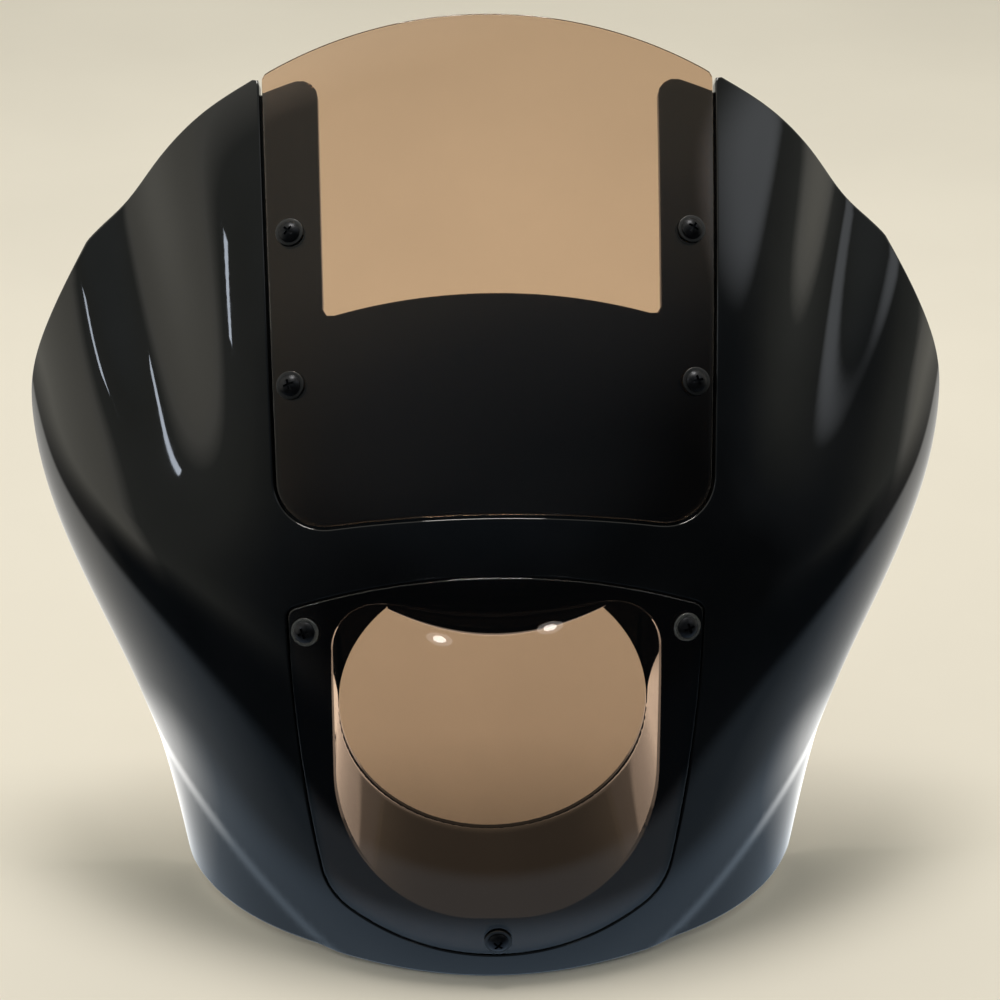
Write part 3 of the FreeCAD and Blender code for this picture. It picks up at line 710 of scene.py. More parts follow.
def black_rubber():
    """Moulded neoprene: matte black, slightly grey where it stretches."""
    return patterned("black_neoprene_rubber", (hex_colour("#121212"), hex_colour("#1e1e1e")), tone_size=4,
                     roughness=(0.6, 0.8), haze_size=1.5, bump_size=0.5, bump_height=0.02)


def turned_brass():
    """Turned brass insert: yellow metal, finely grained by the tool."""
    return patterned("turned_brass", (hex_colour("#b08d3e"), hex_colour("#c9a552")), tone_size=3,
                     roughness=(0.22, 0.34), haze_size=1.0, bump_size=0.35, bump_height=0.006,
                     sockets={"Metallic": 1.0})


def pale_floor_paper(pale):
    """Matt backdrop paper: pale and even, with a soft tooth and hardly any sheen."""
    return patterned("pale_floor_paper", (pale, tuple(1.04 * share for share in pale)), tone_size=300,
                     roughness=(0.75, 0.85), haze_size=40, bump_size=2, bump_height=0.01,
                     sockets={"Specular IOR Level": 0.1})


def length(name, description, default, least=0.0):
    """Property for a length in metres."""
    return FloatProperty(name=name, description=description, default=default, min=least, unit="LENGTH")


def shade(name, description, default):
    """Property for a colour, from its sRGB hex value."""
    return FloatVectorProperty(name=name, description=description, size=4, subtype="COLOR",
                               default=hex_colour(default))


class FairingShape(bpy.types.PropertyGroup):
    """Sizes and colours of the shell and the clear panels."""
    rim_round: length("Rim round", "Radius of the shell's free edge", 0.0014, 0.0002)
    recess_round: length("Recess round", "Radius of the edge round each recess", 0.0010, 0.0002)
    panel_round: length("Panel round", "Radius of the clear panels' polished edges", 0.0009, 0.0002)
    fineness: length("Fineness", "Size of the triangles on the outer skin", 0.004, 0.002)
    shell_colour: shade("Shell colour", "Colour of the moulded shell", "#070809")
    screen_tint: shade("Windshield tint", "Colour seen through the windshield", "#d8ba9f")
    lens_tint: shade("Lens tint", "Colour seen through the headlight lens", "#b79d88")


class FastenerSizes(bpy.types.PropertyGroup):
    """Sizes of the screws and washers."""
    head_diameter: length("Head diameter", "Across the screw's head", 0.011)
    head_height: length("Head height", "From washer to crown", 0.0032)
    rim_height: length("Rim height", "Upright rim below the dome", 0.0008)
    head_bevel: length("Head bevel", "Width of the bevel on the screw's sharp edges", 0.00018)
    shank_diameter: length("Shank diameter", "Across the thread", 0.005)
    length: length("Length", "Length under the head", 0.020)
    recess_span: length("Recess span", "Across the cross recess", 0.0056)
    recess_width: length("Recess width", "Width of each slot", 0.0012)
    recess_depth: length("Recess depth", "Depth of the cross recess", 0.0020)
    washer_diameter: length("Washer diameter", "Across the washer", 0.0145)
    washer_bore: length("Washer bore", "Hole of the washer", 0.0054)
    washer_thickness: length("Washer thickness", "Thickness of the washer", 0.0012)
    washer_round: length("Washer round", "Radius of the washer's edges", 0.00036)
    washer_lift: length("Washer lift", "Gap under the washer", 0.00015)


class StageLook(bpy.types.PropertyGroup):
    """Floor, light and camera."""
    floor_colour: shade("Floor colour", "Colour of the pale floor", "#e6e1d6")
    overhead_power: FloatProperty(name="Overhead light", description="Power of the large overhead softbox",
                                  default=22.0, unit="POWER")
    room_level: FloatProperty(name="Room level", description="Brightness of the room", default=0.95)
    focal_length: FloatProperty(name="Focal length", description="Lens of the camera in millimetres",
                                default=92.81)


def join_root(piece, slot, *nodes):
    """Let a piece stand for CAD nodes on the one body."""
    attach(piece, "root")
    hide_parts(*nodes)


def screen_places():
    """Flat-map places of the windshield's screws."""
    points = np.array([(side * SCREEN_SCREW_X, level) for side in (1, -1) for level in SCREEN_SCREWS])
    return on_skin(SCREEN_TILT, points)


def lens_places():
    """Flat-map places of the lens's screws."""
    return on_skin(LENS_TILT, np.array(LENS_SCREWS))


class FAIRING_OT_shell(bpy.types.Operator):
    """Build the moulded shell with its seats, headlight pocket and visor"""
    bl_idname = "fairing.shell"
    bl_label = "Fairing shell"

    def execute(self, context):
        shape = context.scene.fairing_shape
        step = shape.fineness * 1000
        rim, recess = shape.rim_round * 1000, shape.recess_round * 1000
        body = Body()
        half, recess_start = skin_half(OUTLINE_STEP)
        border = mirrored_loop(half)
        share = ease((np.arange(len(half)) - recess_start) / ROUND_CHANGE_POINTS + 0.5)
        edge_round = rim + (recess - rim) * share
        edge_round = np.concatenate([edge_round, edge_round[1:-1][::-1]])
        lens_recess = even_loop(on_skin(LENS_TILT, lens_half(LENS_GAP)), OUTLINE_STEP)[::-1]
        lips = np.concatenate([border[recess_start:len(border) - recess_start], lens_recess])[::2]

        def skin_back(places):
            near = np.array([np.min(np.sum((lips - place) ** 2, axis=1)) for place in places]) ** 0.5
            return WALL + LIP_EXTRA * (1 - ease((near - LIP_BAND) / LIP_BAND))

        slab(body, Skin, [(border, edge_round), (lens_recess, recess)], 0, skin_back, step,
             BACK_COARSENESS * step)
        seat = even_loop(on_skin(SCREEN_TILT, seat_half(SCREEN_GAP + WALL)), SEAT_OUTLINE_STEP)
        nut_holes = drilled(Skin, screen_places(), NUT_HOLE)
        slab(body, Skin, [(seat, SEAT_ROUND)] + nut_holes, SEAT_DEPTH, SEAT_BACK, SEAT_STEP, SEAT_BACK_STEP)
        self.lens_seat_and_pocket(body)
        self.visor(body)
        piece = body.object("fairing_shell_skin", gloss_black_abs(tuple(shape.shell_colour)))
        join_root(piece, "gloss_black_abs", "fairing_shell")
        return {"FINISHED"}

    def lens_seat_and_pocket(self, body):
        """Ring seat for the lens, the pocket's wall and its rear panel with the headlight hole."""
        inner_front, inner_rear = pocket_wall(0, 0)
        outer_front, outer_rear = pocket_wall(POCKET_WALL, POCKET_WALL)
        middle_front, middle_rear = pocket_wall(POCKET_WALL / 2, POCKET_WALL / 2)
        mouth = at_depth(middle_front, middle_rear, SEAT_DEPTH)
        points = middle_front + (middle_rear - middle_front) * mouth
        window = Skin.flat(points[:, 0], points[:, 2])[::-1]
        outer = even_loop(on_skin(LENS_TILT, lens_half(LENS_GAP + WALL)), SEAT_OUTLINE_STEP)
        borders = [(outer, LENS_SEAT_ROUND), (window, LENS_SEAT_ROUND)]
        slab(body, Skin, borders + drilled(Skin, lens_places(), NUT_HOLE), SEAT_DEPTH, SEAT_BACK,
             SEAT_STEP, SEAT_BACK_STEP)
        inner_lip = at_depth(inner_front, inner_rear, SEAT_DEPTH)
        outer_lip = at_depth(outer_front, outer_rear, SEAT_DEPTH + OVERLAP)
        inside_lip = inner_front + (inner_rear - inner_front) * inner_lip
        outside_lip = outer_front + (outer_rear - outer_front) * outer_lip
        away = unit(outside_lip - inside_lip)
        deeper = unit(inner_rear - inside_lip)
        rows = [inside_lip + (inner_rear - inside_lip) * share for share in np.linspace(1, 0, INNER_ROWS)[:-1]]
        for angle in np.linspace(0, math.pi / 2, ROUND_STEPS + 1):
            sink, shift = 1 - math.sin(angle), 1 - math.cos(angle)
            rows.append(inside_lip + deeper * LIP_ROUND * sink + away * LIP_ROUND * shift)
        rows.append(inside_lip + (outside_lip - inside_lip) * LIP_LAND)
        rows += [outside_lip + (outer_rear - outside_lip) * share for share in np.linspace(0, 1, OUTER_ROWS)]
        wrapped(body, [lean(row) for row in rows[::-1]])
        reach = HOLE_RADIUS + HOLE_MARGIN + POCKET_WALL - OVERLAP
        section = pocket_section(reach, -reach, reach, reach - CORNER_INSET, POCKET_TOP_RADIUS + POCKET_WALL)
        angles = -np.linspace(0, math.tau, HEADLIGHT_HOLE_POINTS, endpoint=False)
        hole = HOLE_RADIUS * np.stack([np.cos(angles), np.sin(angles)], axis=-1)
        bracket_holes = drilled(RearPanel, [(BRACKET_X, BRACKET_Z), (-BRACKET_X, BRACKET_Z)], BRACKET_HOLE)
        borders = [(section, REAR_PANEL_ROUND), (hole, HEADLIGHT_HOLE_ROUND)]
        slab(body, RearPanel, borders + bracket_holes, 0, POCKET_WALL, SEAT_STEP, SEAT_STEP,
             REAR_PANEL_BACK_ROUND)

    def visor(self, body):
        """Rolled lip that hangs from the lens seat over the headlight."""
        rows = []
        for x in np.linspace(-VISOR_HALF, VISOR_HALF, VISOR_STATIONS):
            radius = VISOR_RADIUS * (1 - (x / VISOR_SPAN) ** 2)
            slope = math.atan2(float(front_y(x, POCKET_TOP + 1) - front_y(x, POCKET_TOP - 1)), 2)
            down = np.array([0, -math.sin(slope), -math.cos(slope)])
            rear = np.array([0, math.cos(slope), -math.sin(slope)])
            depth = SEAT_DEPTH + (WALL - VISOR_WALL) / 2
            start = np.array([x, float(front_y(x, POCKET_TOP)), POCKET_TOP]) + rear * depth
            front, back = [start - down * VISOR_LAP], [start - down * VISOR_LAP + rear * VISOR_WALL]
            for angle in np.radians(np.linspace(0, VISOR_TURN, VISOR_POINTS)):
                spoke = down * math.sin(angle) - rear * math.cos(angle)
                front.append(start + rear * radius + spoke * radius)
                back.append(start + rear * radius + spoke * (radius - VISOR_WALL))
            tip = (front[-1] + back[-1]) / 2
            across = (front[-1] - back[-1]) / 2
            on = unit(front[-1] - front[-2]) * VISOR_WALL / 2
            turns = np.linspace(0, math.pi, VISOR_EDGE_POINTS)[1:-1]
            edge = [tip + across * math.cos(turn) + on * math.sin(turn) for turn in turns]
            rows.append(lean(np.array(front + edge + back[::-1])))
        grid = np.stack(rows)
        down = np.roll(grid, -1, axis=1) - np.roll(grid, 1, axis=1)
        along = np.gradient(grid, axis=0)
        normals = unit(np.cross(along, down))
        ids = [body.add(points, normal) for points, normal in zip(grid, normals)]
        for first, second in zip(ids, ids[1:]):
            body.strip(first, second)
        for row, points, way in ((ids[0], grid[0], -1.0), (ids[-1], grid[-1], 1.0)):
            half = len(row) // 2
            cap = body.add(points, np.tile([way, 0.0, 0.0], (len(points), 1)))
            for i in range(half - 1):
                face = [cap[i], cap[i + 1], cap[-2 - i], cap[-1 - i]]
                body.faces.append([int(k) for k in (face if way < 0 else face[::-1])])


def clear_sheet(name, outline, places, edge_round, material):
    """Clear sheet that continues the outer surface, drilled for its screws."""
    body = Body()
    border = [(even_loop(outline, OUTLINE_STEP), edge_round)]
    slab(body, Skin, border + drilled(Skin, places, PANEL_HOLE), 0, PANEL, SHEET_STEP, SHEET_STEP,
         SHEET_BACK_ROUND)
    return body.object(name, material)


class FAIRING_OT_windshield(bpy.types.Operator):
    """Build the smoked windshield"""
    bl_idname = "fairing.windshield"
    bl_label = "Windshield"

    def execute(self, context):
        shape = context.scene.fairing_shape
        sheet = smoked_polycarbonate("smoked_polycarbonate_windshield", tuple(shape.screen_tint))
        outline = on_skin(SCREEN_TILT, screen_half())
        piece = clear_sheet("windshield_sheet", outline, screen_places(), shape.panel_round * 1000, sheet)
        join_root(piece, "smoked_windshield", "windshield")
        return {"FINISHED"}


class FAIRING_OT_lens(bpy.types.Operator):
    """Build the smoked headlight lens"""
    bl_idname = "fairing.lens"
    bl_label = "Headlight lens"

    def execute(self, context):
        shape = context.scene.fairing_shape
        sheet = smoked_polycarbonate("smoked_polycarbonate_lens", tuple(shape.lens_tint))
        outline = on_skin(LENS_TILT, lens_half(0))
        piece = clear_sheet("headlight_lens_sheet", outline, lens_places(), shape.panel_round * 1000, sheet)
        join_root(piece, "smoked_lens", "headlight_lens")
        return {"FINISHED"}


def placing_mesh(name, places, turns):
    """Loose points on the outer surface, each with its facing and its turn about it."""
    points, normals = Skin.place(places)
    mesh = bpy.data.meshes.new(name)
    mesh.from_pydata((points / 1000).tolist(), [], [])
    facing = mesh.attributes.new("facing", "FLOAT_VECTOR", "POINT")
    facing.data.foreach_set("vector", normals.astype(np.float32).ravel())
    turn = mesh.attributes.new("turn", "FLOAT", "POINT")
    turn.data.foreach_set("value", np.asarray(turns, np.float32))
    return mesh


def new_tree(name, sizes):
    """Geometry tree with a named length input for each size."""
    tree = bpy.data.node_groups.new(name, "GeometryNodeTree")
    tree.interface.new_socket("Geometry", in_out="INPUT", socket_type="NodeSocketGeometry")
    tree.interface.new_socket("Geometry", in_out="OUTPUT", socket_type="NodeSocketGeometry")
    for size in sizes:
        socket = tree.interface.new_socket(size, in_out="INPUT", socket_type="NodeSocketFloat")
        socket.subtype = "DISTANCE"
    return tree, add_node(tree, "NodeGroupInput").outputs


def end_tree(tree, points, shape, material):
    """Stand a shape on each point, realise it and give it its material."""
    facing, turn = (
        add_node(tree, "GeometryNodeInputNamedAttribute", {"data_type": kind}, {"Name": name})
        for kind, name in (("FLOAT_VECTOR", "facing"), ("FLOAT", "turn")))
    align = add_node(tree, "FunctionNodeAlignRotationToVector", {"axis": "Z"}, {"Vector": facing.outputs[0]})
    about = add_node(tree, "ShaderNodeCombineXYZ", inputs={"Z": turn.outputs[0]})
    spin = add_node(tree, "FunctionNodeRotateRotation", {"rotation_space": "LOCAL"},
                    {"Rotation": align.outputs[0], "Rotate By": about.outputs[0]})
    stand = add_node(tree, "GeometryNodeInstanceOnPoints",
                     inputs={"Points": points, "Instance": shape, "Rotation": spin.outputs[0]})
    real = add_node(tree, "GeometryNodeRealizeInstances", inputs={"Geometry": stand.outputs[0]})
    finish = add_node(tree, "GeometryNodeSetMaterial",
                      inputs={"Geometry": real.outputs[0], "Material": material})
    add_node(tree, "NodeGroupOutput", inputs={"Geometry": finish.outputs[0]})


def raised(tree, geometry, level):
    """Geometry lifted to a level."""
    offset = add_node(tree, "ShaderNodeCombineXYZ", inputs={"Z": level})
    lifted = add_node(tree, "GeometryNodeTransform",
                      inputs={"Geometry": geometry, "Translation": offset.outputs[0]})
    return lifted.outputs[0]


def screw_tree(material):
    """Tree that stands cross-recessed screws with low domed heads on points."""
    sizes = ("Head Radius", "Head Height", "Head Level", "Dome Radius", "Dome Level", "Recess Span",
             "Recess Width", "Recess Height", "Crown Level", "Shank Radius", "Shank Length", "Shank Level")
    tree, given = new_tree("cross_recessed_screws", sizes)
    ball = add_node(tree, "GeometryNodeMeshUVSphere",
                    inputs={"Segments": HEAD_SEGMENTS, "Rings": DOME_RINGS, "Radius": given["Dome Radius"]})
    barrel = add_node(tree, "GeometryNodeMeshCylinder",
                      inputs={"Vertices": HEAD_SEGMENTS, "Radius": given["Head Radius"],
                              "Depth": given["Head Height"]})
    bar = add_node(tree, "GeometryNodeMeshCylinder",
                   inputs={"Vertices": SHANK_SEGMENTS, "Radius": given["Shank Radius"],
                           "Depth": given["Shank Length"]})
    shapes = [(ball, "Dome Level"), (barrel, "Head Level"), (bar, "Shank Level")]
    for first, second in (("Recess Span", "Recess Width"), ("Recess Width", "Recess Span")):
        size = add_node(tree, "ShaderNodeCombineXYZ",
                        inputs={"X": given[first], "Y": given[second], "Z": given["Recess Height"]})
        slot = add_node(tree, "GeometryNodeMeshCube", inputs={"Size": size.outputs[0]})
        shapes.append((slot, "Crown Level"))
    dome, rim, shank, slot, cross_slot = (
        raised(tree, shape.outputs[0], given[level]) for shape, level in shapes)
    head = add_node(tree, "GeometryNodeMeshBoolean", {"operation": "INTERSECT", "solver": "MANIFOLD"})
    cross = add_node(tree, "GeometryNodeMeshBoolean", {"operation": "DIFFERENCE", "solver": "MANIFOLD"},
                     {"Mesh 1": head.outputs[0]})
    whole = add_node(tree, "GeometryNodeJoinGeometry")
    for geometry, socket in ((dome, head.inputs["Mesh 2"]), (rim, head.inputs["Mesh 2"]),
                             (slot, cross.inputs["Mesh 2"]), (cross_slot, cross.inputs["Mesh 2"]),
                             (cross.outputs[0], whole.inputs[0]), (shank, whole.inputs[0])):
        tree.links.new(geometry, socket)
    end_tree(tree, given["Geometry"], whole.outputs[0], material)
    return tree


def washer_tree(name, material):
    """Tree that lays flat washers with rounded edges on points."""
    tree, given = new_tree(name, ("Middle Radius", "Width", "Thickness", "Edge Round", "Level"))
    path = add_node(tree, "GeometryNodeCurvePrimitiveCircle",
                    inputs={"Resolution": WASHER_SEGMENTS, "Radius": given["Middle Radius"]})
    flat = add_node(tree, "GeometryNodeSetCurveNormal", {"mode": "Z_UP"}, {"Curve": path.outputs[0]})
    section = add_node(tree, "GeometryNodeCurvePrimitiveQuadrilateral",
                       inputs={"Width": given["Width"], "Height": given["Thickness"]})
    soft = add_node(tree, "GeometryNodeFilletCurve", {"mode": "POLY"},
                    {"Curve": section.outputs[0], "Count": 3, "Radius": given["Edge Round"]})
    ring = add_node(tree, "GeometryNodeCurveToMesh",
                    inputs={"Curve": flat.outputs[0], "Profile Curve": soft.outputs[0]})
    end_tree(tree, given["Geometry"], raised(tree, ring.outputs[0], given["Level"]), material)
    return tree


def grown_piece(name, mesh, tree, values, bevel=0.0):
    """Run a tree on a mesh of points and keep the result as a plain mesh object."""
    maker = bpy.data.objects.new(name + "_maker", mesh)
    bpy.context.scene.collection.objects.link(maker)
    modifier = maker.modifiers.new("tree", "NODES")
    modifier.node_group = tree
    for item in tree.interface.items_tree:
        if item.in_out == "INPUT" and item.name in values:
            modifier[item.identifier] = float(values[item.name])
    if bevel:
        edge = maker.modifiers.new("edge", "BEVEL")
        edge.width, edge.segments, edge.harden_normals = bevel, 2, False
        edge.limit_method, edge.angle_limit = "ANGLE", BEVEL_ANGLE
    bpy.context.view_layer.update()
    result = bpy.data.meshes.new_from_object(maker.evaluated_get(bpy.context.evaluated_depsgraph_get()))
    bpy.data.objects.remove(maker)
    if not result.polygons:
        raise RuntimeError(name + " came out empty")
    result.name = name
    for attribute in ("facing", "turn"):
        if attribute in result.attributes:
            result.attributes.remove(result.attributes[attribute])
    shell = bmesh.new()
    shell.from_mesh(result)
    bmesh.ops.remove_doubles(shell, verts=shell.verts, dist=1e-6)
    bmesh.ops.recalc_face_normals(shell, faces=shell.faces)
    shell.to_mesh(result)
    shell.free()
    result.shade_smooth()
    result.set_sharp_from_angle(angle=SHARP_ANGLE)
    piece = bpy.data.objects.new(name, result)
    bpy.context.scene.collection.objects.link(piece)
    return piece


class FAIRING_OT_screws(bpy.types.Operator):
    """Stand the screws of the windshield and the lens"""
    bl_idname = "fairing.screws"
    bl_label = "Screws"

    def execute(self, context):
        sizes = context.scene.fairing_fasteners
        tree = screw_tree(black_oxide_steel())
        seat = sizes.washer_lift + sizes.washer_thickness
        radius, bow = sizes.head_diameter / 2, sizes.head_height - sizes.rim_height
        dome = (radius ** 2 + bow ** 2) / (2 * bow)
        crown = seat + sizes.head_height
        shank = sizes.length + sizes.rim_height
        values = {"Head Radius": radius, "Head Height": sizes.head_height,
                  "Head Level": seat + sizes.head_height / 2,
                  "Dome Radius": dome, "Dome Level": crown - dome, "Crown Level": crown,
                  "Recess Span": sizes.recess_span, "Recess Width": sizes.recess_width,
                  "Recess Height": 2 * sizes.recess_depth,
                  "Shank Radius": sizes.shank_diameter / 2, "Shank Length": shank,
                  "Shank Level": seat + sizes.rim_height - shank / 2}
        groups = (("windshield_screws", screen_places(), (0.4, 1.1, 0.2, 0.75)),
                  ("lens_screws", lens_places(), (0.55, 0.15, 0.9)))
        for node, places, turns in groups:
            mesh = placing_mesh(node + "_places", places, turns)
            piece = grown_piece(node + "_set", mesh, tree, values, sizes.head_bevel)
            join_root(piece, "black_oxide_steel", node)
        return {"FINISHED"}


class FAIRING_OT_washers(bpy.types.Operator):
    """Lay the washers under the screws' heads"""
    bl_idname = "fairing.washers"
    bl_label = "Washers"

    def execute(self, context):
        sizes = context.scene.fairing_fasteners
        values = {"Middle Radius": (sizes.washer_diameter + sizes.washer_bore) / 4,
                  "Width": (sizes.washer_diameter - sizes.washer_bore) / 2,
                  "Thickness": sizes.washer_thickness, "Edge Round": sizes.washer_round,
                  "Level": sizes.washer_lift + sizes.washer_thickness / 2}
        dark = washer_tree("nylon_washers", black_nylon())
        clear = washer_tree("vinyl_washers", clear_vinyl())
        groups = (("windshield_washers", screen_places(), dark, "black_nylon"),
                  ("lens_lower_washer", lens_places()[2:], dark, "black_nylon"),
                  ("lens_clear_washers", lens_places()[:2], clear, "clear_vinyl"))
        for node, places, tree, slot in groups:
            mesh = placing_mesh(node + "_places", places, [0.0] * len(places))
            piece = grown_piece(node + "_set", mesh, tree, values)
            join_root(piece, slot, node)
        return {"FINISHED"}


class FAIRING_OT_nuts(bpy.types.Operator):
    """Finish the well nuts and their threaded inserts"""
    bl_idname = "fairing.nuts"
    bl_label = "Well nuts"

    def execute(self, context):
        rubber, brass = black_rubber(), turned_brass()
        for node, material in (("windshield_well_nuts", rubber), ("lens_well_nuts", rubber),
                               ("windshield_nut_inserts", brass), ("lens_nut_inserts", brass)):
            for slot in bpy.data.objects[node].material_slots:
                slot.material = material
        return {"FINISHED"}


# Tones that the gloss mirrors, each with its share of the way from the first end to the second: the
# room from front to back, and the floor in a wide pool behind the part and a close one beside it.
ROOM_WAY, ROOM_ENDS = (-0.23, 1.0, 0.1), (-0.75, 0.05)
ROOM_TONES = ((0.0, "#22272c"), (0.19, "#4b5054"), (0.5, "#868882"), (0.79, "#94968f"), (0.91, "#f3f0e4"),
              (1.0, "#fcf8e9"))
FLOOR_ENDS = (-0.14, 0.4)
WIDE_TONES = ((0.0, "#6a7783"), (0.2, "#a0abb5"), (0.3, "#bcc3c8"), (0.6, "#f6f4ee"), (1.0, "#f6f4ee"))
CLOSE_TONES = ((0.0, "#6b8096"), (0.22, "#667686"), (0.36, "#fffdf9"), (1.0, "#fffdf9"))
POOL_END = 0.05
FAR_FLOOR = (0.7, 1.6)

FLOOR_HALF = 5.0
MIDDLE = Vector((0.0, 0.0, 0.1))
LAMP_DISTANCE, CORE_DISTANCE = 1.6, 1.59

# Camera matched to the photograph.
CAMERA_PLACE = (-0.04280, -1.1620, 0.7660)
CAMERA_RIGHT, CAMERA_AHEAD = (0.99934, -0.03601, 0.00642), (0.03463, 0.87484, -0.48317)
SENSOR_WIDTH = 36.0


def tones_along(tree, place, way, ends, tones):
    """Colour that runs through tones along a direction."""
    along = add_node(tree, "ShaderNodeVectorMath", {"operation": "DOT_PRODUCT"}, {0: place, 1: way})
    share = add_node(tree, "ShaderNodeMapRange",
                     inputs={"Value": along.outputs["Value"], "From Min": ends[0], "From Max": ends[1]})
    ramp = add_node(tree, "ShaderNodeValToRGB", inputs={"Fac": share.outputs[0]},
                    stops=[(at, hex_colour(tone)) for at, tone in tones])
    return ramp.outputs["Color"]


def eased(tree, operation, vectors, ends, levels=(0.0, 1.0)):
    """Level that eases from one value to another as a measure of vectors passes from end to end."""
    measure = add_node(tree, "ShaderNodeVectorMath", {"operation": operation}, vectors)
    level = add_node(tree, "ShaderNodeMapRange", {"interpolation_type": "SMOOTHSTEP"},
                     {"Value": measure.outputs["Value"], "From Min": ends[0], "From Max": ends[1],
                      "To Min": levels[0], "To Max": levels[1]})
    return level.outputs[0]


def room_tone(tree, way):
    """Colour of the room by direction: dark in front, pale behind, and paler on the left than on the
    right."""
    return tones_along(tree, way, ROOM_WAY, ROOM_ENDS, ROOM_TONES)


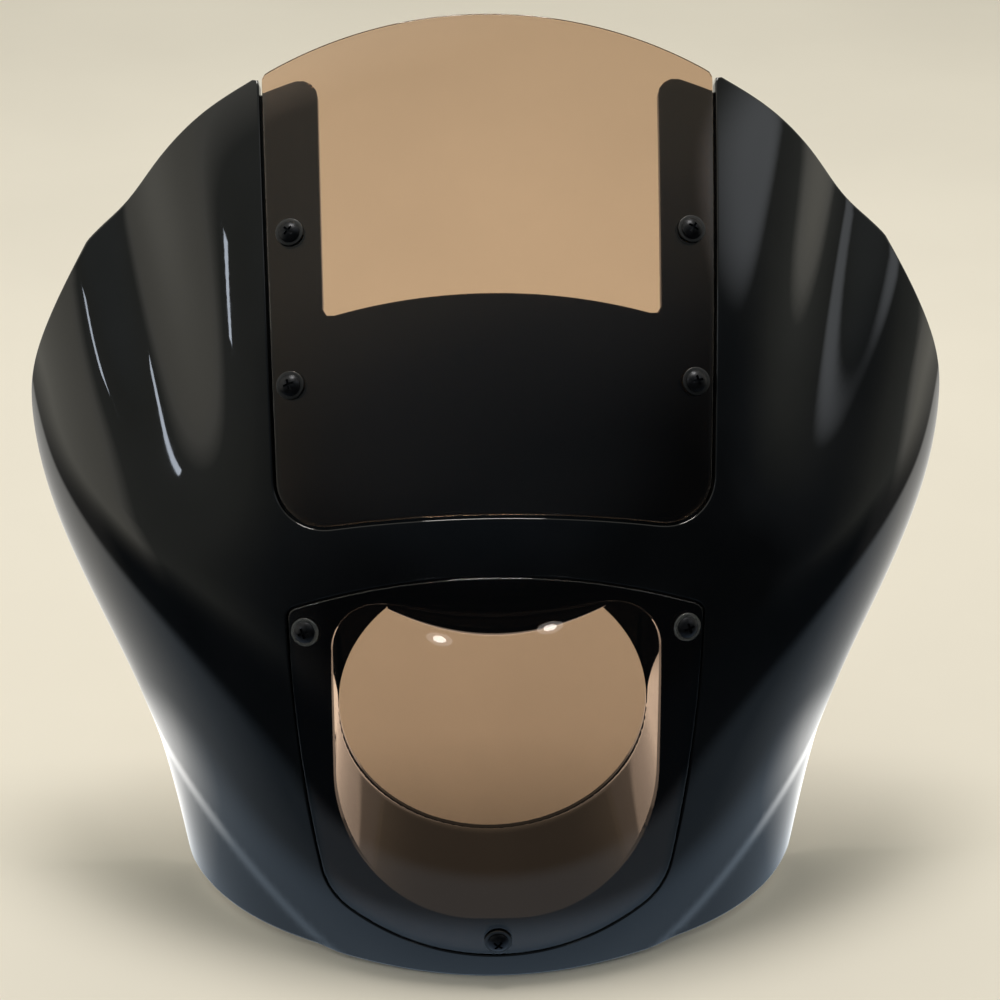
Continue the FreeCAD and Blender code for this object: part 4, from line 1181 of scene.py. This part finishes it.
class FAIRING_OT_stage(bpy.types.Operator):
    """Lay the pale floor, hang the soft light and set up the camera"""
    bl_idname = "fairing.stage"
    bl_label = "Stage"

    def execute(self, context):
        look = context.scene.fairing_stage
        floor_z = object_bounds()[0][2]
        self.floor(look, floor_z)
        self.lamps(look)
        self.room(look)
        self.camera(look)
        context.scene.view_settings.view_transform = "Standard"
        return {"FINISHED"}

    def floor(self, look, height):
        """Plain pale floor. A mirror sees it dim in front of the part, bright behind it and close beside
        it, and as the room's own tone far off."""
        mesh = bpy.data.meshes.new("floor")
        corners = [(x * FLOOR_HALF, y * FLOOR_HALF, height) for x, y in ((-1, -1), (1, -1), (1, 1), (-1, 1))]
        mesh.from_pydata(corners, [], [(0, 1, 2, 3)])
        material = pale_floor_paper(tuple(look.floor_colour))
        mesh.materials.append(material)
        tree = material.node_tree
        place = tree.nodes["Texture Coordinate"].outputs["Object"]
        pools = []
        for tones, way, centre, radii, ends, level in (
                (WIDE_TONES, (-0.1, 1.0, 0.0), (0, 0.73, height), (0.8, 1.05, 1.0), (0.94, 1.03), 1.0),
                (CLOSE_TONES, (0.0, 1.0, 0.0), (0, 0.03, height), (0.22, 0.14, 1.0), (1.1, 1.45), 1.5)):
            spread = add_node(tree, "ShaderNodeMapping", {"vector_type": "TEXTURE"},
                              {"Vector": place, "Location": centre, "Scale": radii})
            fade = eased(tree, "LENGTH", {0: spread.outputs[0]}, ends, (level, POOL_END * level))
            colour = tones_along(tree, place, way, FLOOR_ENDS, tones)
            pools.append(add_node(tree, "ShaderNodeEmission", inputs={"Color": colour, "Strength": fade}))
        near = add_node(tree, "ShaderNodeAddShader", inputs={0: pools[0].outputs[0], 1: pools[1].outputs[0]})
        way = add_node(tree, "ShaderNodeVectorMath", {"operation": "NORMALIZE"}, {0: place})
        far = add_node(tree, "ShaderNodeEmission",
                       inputs={"Color": room_tone(tree, way.outputs[0]), "Strength": look.room_level})
        away = eased(tree, "LENGTH", {0: place}, FAR_FLOOR)
        mirrored = add_node(tree, "ShaderNodeMixShader",
                            inputs={0: away, 1: near.outputs[0], 2: far.outputs[0]})
        seen = add_node(tree, "ShaderNodeLightPath").outputs["Glossy Depth"]
        plain = tree.nodes["Principled BSDF"].outputs["BSDF"]
        either = add_node(tree, "ShaderNodeMixShader", inputs={0: seen, 1: plain, 2: mirrored.outputs[0]})
        tree.links.new(either.outputs[0], tree.nodes["Material Output"].inputs["Surface"])
        floor = bpy.data.objects.new("floor", mesh)
        bpy.context.scene.collection.objects.link(floor)
        floor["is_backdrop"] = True

    def lamp(self, name, power, size, spot, colour, shape="RECTANGLE"):
        """Softbox that faces the part."""
        data = bpy.data.lights.new(name, "AREA")
        data.energy, data.shape = power, shape
        data.size, data.size_y = size
        data.color = hex_colour(colour)[:3]
        lamp = bpy.data.objects.new(name, data)
        bpy.context.scene.collection.objects.link(lamp)
        turn = (MIDDLE - Vector(spot)).to_track_quat("-Z", "Y")
        lamp.matrix_world = Matrix.Translation(spot) @ turn.to_matrix().to_4x4()

    def aimed(self, azimuth, elevation, distance):
        """Point at a bearing from the part, 0 being straight in front and positive to its right."""
        turn, rise = math.radians(azimuth), math.radians(elevation)
        return MIDDLE + distance * Vector((math.cos(rise) * math.sin(turn), -math.cos(rise) * math.cos(turn),
                                           math.sin(rise)))

    def lamps(self, look):
        """Overhead light, a thin strip softbox on the left and two small front lamps, each with a halo."""
        self.lamp("overhead_softbox", look.overhead_power, (0.62, 0.5), (0.0, 0.4, 1.95), "#fffaf2")
        self.lamp("left_strip", 0.5, (0.04, 0.42), self.aimed(-66, 36, LAMP_DISTANCE), "#e6f0ff")
        for side, azimuth, elevation in (("left", -9.3, 7.0), ("right", 11.9, 8.7)):
            for part, power, size, distance in (("core", 0.05, (0.07, 0.03), CORE_DISTANCE),
                                                ("halo", 0.03, (0.14, 0.06), LAMP_DISTANCE)):
                spot = self.aimed(azimuth, elevation, distance)
                self.lamp("front_lamp_%s_%s" % (side, part), power, size, spot, "#ffffff", "ELLIPSE")

    def room(self, look):
        """Room that lights the part: its tones, dimmer high up behind, with a soft window on the right
        and a faint cool glow above the front."""
        world = bpy.data.worlds.new("room_with_pale_rear_wall")
        world.use_nodes = True
        tree = world.node_tree
        tree.nodes.clear()
        way = add_node(tree, "ShaderNodeTexCoord").outputs["Generated"]
        tone, full = room_tone(tree, way), look.room_level
        window_way = self.aimed(67, 46, 1.0) - MIDDLE
        walls, window, glow = (
            add_node(tree, "ShaderNodeBackground",
                     inputs={"Color": colour,
                             "Strength": eased(tree, "DOT_PRODUCT", {0: way, 1: middle}, ends, levels)})
            for middle, ends, levels, colour in (
                ((0.0, 0.87, 0.48), (0.55, 0.9), (full, 0.65 * full), tone),
                (window_way, (0.97, 0.998), (0.0, 1.2), hex_colour("#e6ebf2")),
                ((0.0, -0.62, 0.78), (0.8, 0.99), (0.0, 0.1), hex_colour("#a9c0d6"))))
        lit = add_node(tree, "ShaderNodeAddShader", inputs={0: walls.outputs[0], 1: window.outputs[0]})
        whole = add_node(tree, "ShaderNodeAddShader", inputs={0: lit.outputs[0], 1: glow.outputs[0]})
        add_node(tree, "ShaderNodeOutputWorld", inputs={"Surface": whole.outputs[0]})
        bpy.context.scene.world = world

    def camera(self, look):
        """Camera at the photograph's viewing angle."""
        data = bpy.data.cameras.new("camera")
        data.sensor_width, data.lens, data.sensor_fit = SENSOR_WIDTH, look.focal_length, "HORIZONTAL"
        camera = bpy.data.objects.new("camera", data)
        bpy.context.scene.collection.objects.link(camera)
        right, ahead = Vector(CAMERA_RIGHT).normalized(), Vector(CAMERA_AHEAD).normalized()
        turn = Matrix((right, right.cross(ahead), -ahead)).transposed().to_4x4()
        camera.matrix_world = Matrix.Translation(CAMERA_PLACE) @ turn
        bpy.context.scene.camera = camera


class FAIRING_PT_panel(bpy.types.Panel):
    """Sidebar panel with the sizes and the build steps"""
    bl_idname = "FAIRING_PT_panel"
    bl_label = "Quarter fairing"
    bl_space_type = "VIEW_3D"
    bl_region_type = "UI"
    bl_category = "Fairing"

    def draw(self, context):
        scene = context.scene
        for group in (scene.fairing_shape, scene.fairing_fasteners, scene.fairing_stage):
            box = self.layout.box()
            for name in group.__annotations__:
                box.prop(group, name)
        for step in STEPS:
            self.layout.operator(step.bl_idname)


GROUPS = {"fairing_shape": FairingShape, "fairing_fasteners": FastenerSizes, "fairing_stage": StageLook}
STEPS = (FAIRING_OT_shell, FAIRING_OT_windshield, FAIRING_OT_lens, FAIRING_OT_screws, FAIRING_OT_washers,
         FAIRING_OT_nuts, FAIRING_OT_stage)


def register():
    for kind in (*GROUPS.values(), *STEPS, FAIRING_PT_panel):
        bpy.utils.register_class(kind)
    for name, kind in GROUPS.items():
        setattr(bpy.types.Scene, name, PointerProperty(type=kind))


def unregister():
    for name in GROUPS:
        delattr(bpy.types.Scene, name)
    for kind in reversed((*GROUPS.values(), *STEPS, FAIRING_PT_panel)):
        bpy.utils.unregister_class(kind)


def main():
    register()
    bpy.ops.fairing.shell()
    bpy.ops.fairing.windshield()
    bpy.ops.fairing.lens()
    bpy.ops.fairing.screws()
    bpy.ops.fairing.washers()
    bpy.ops.fairing.nuts()
    bpy.ops.fairing.stage()


if __name__ == "__main__":
    main()
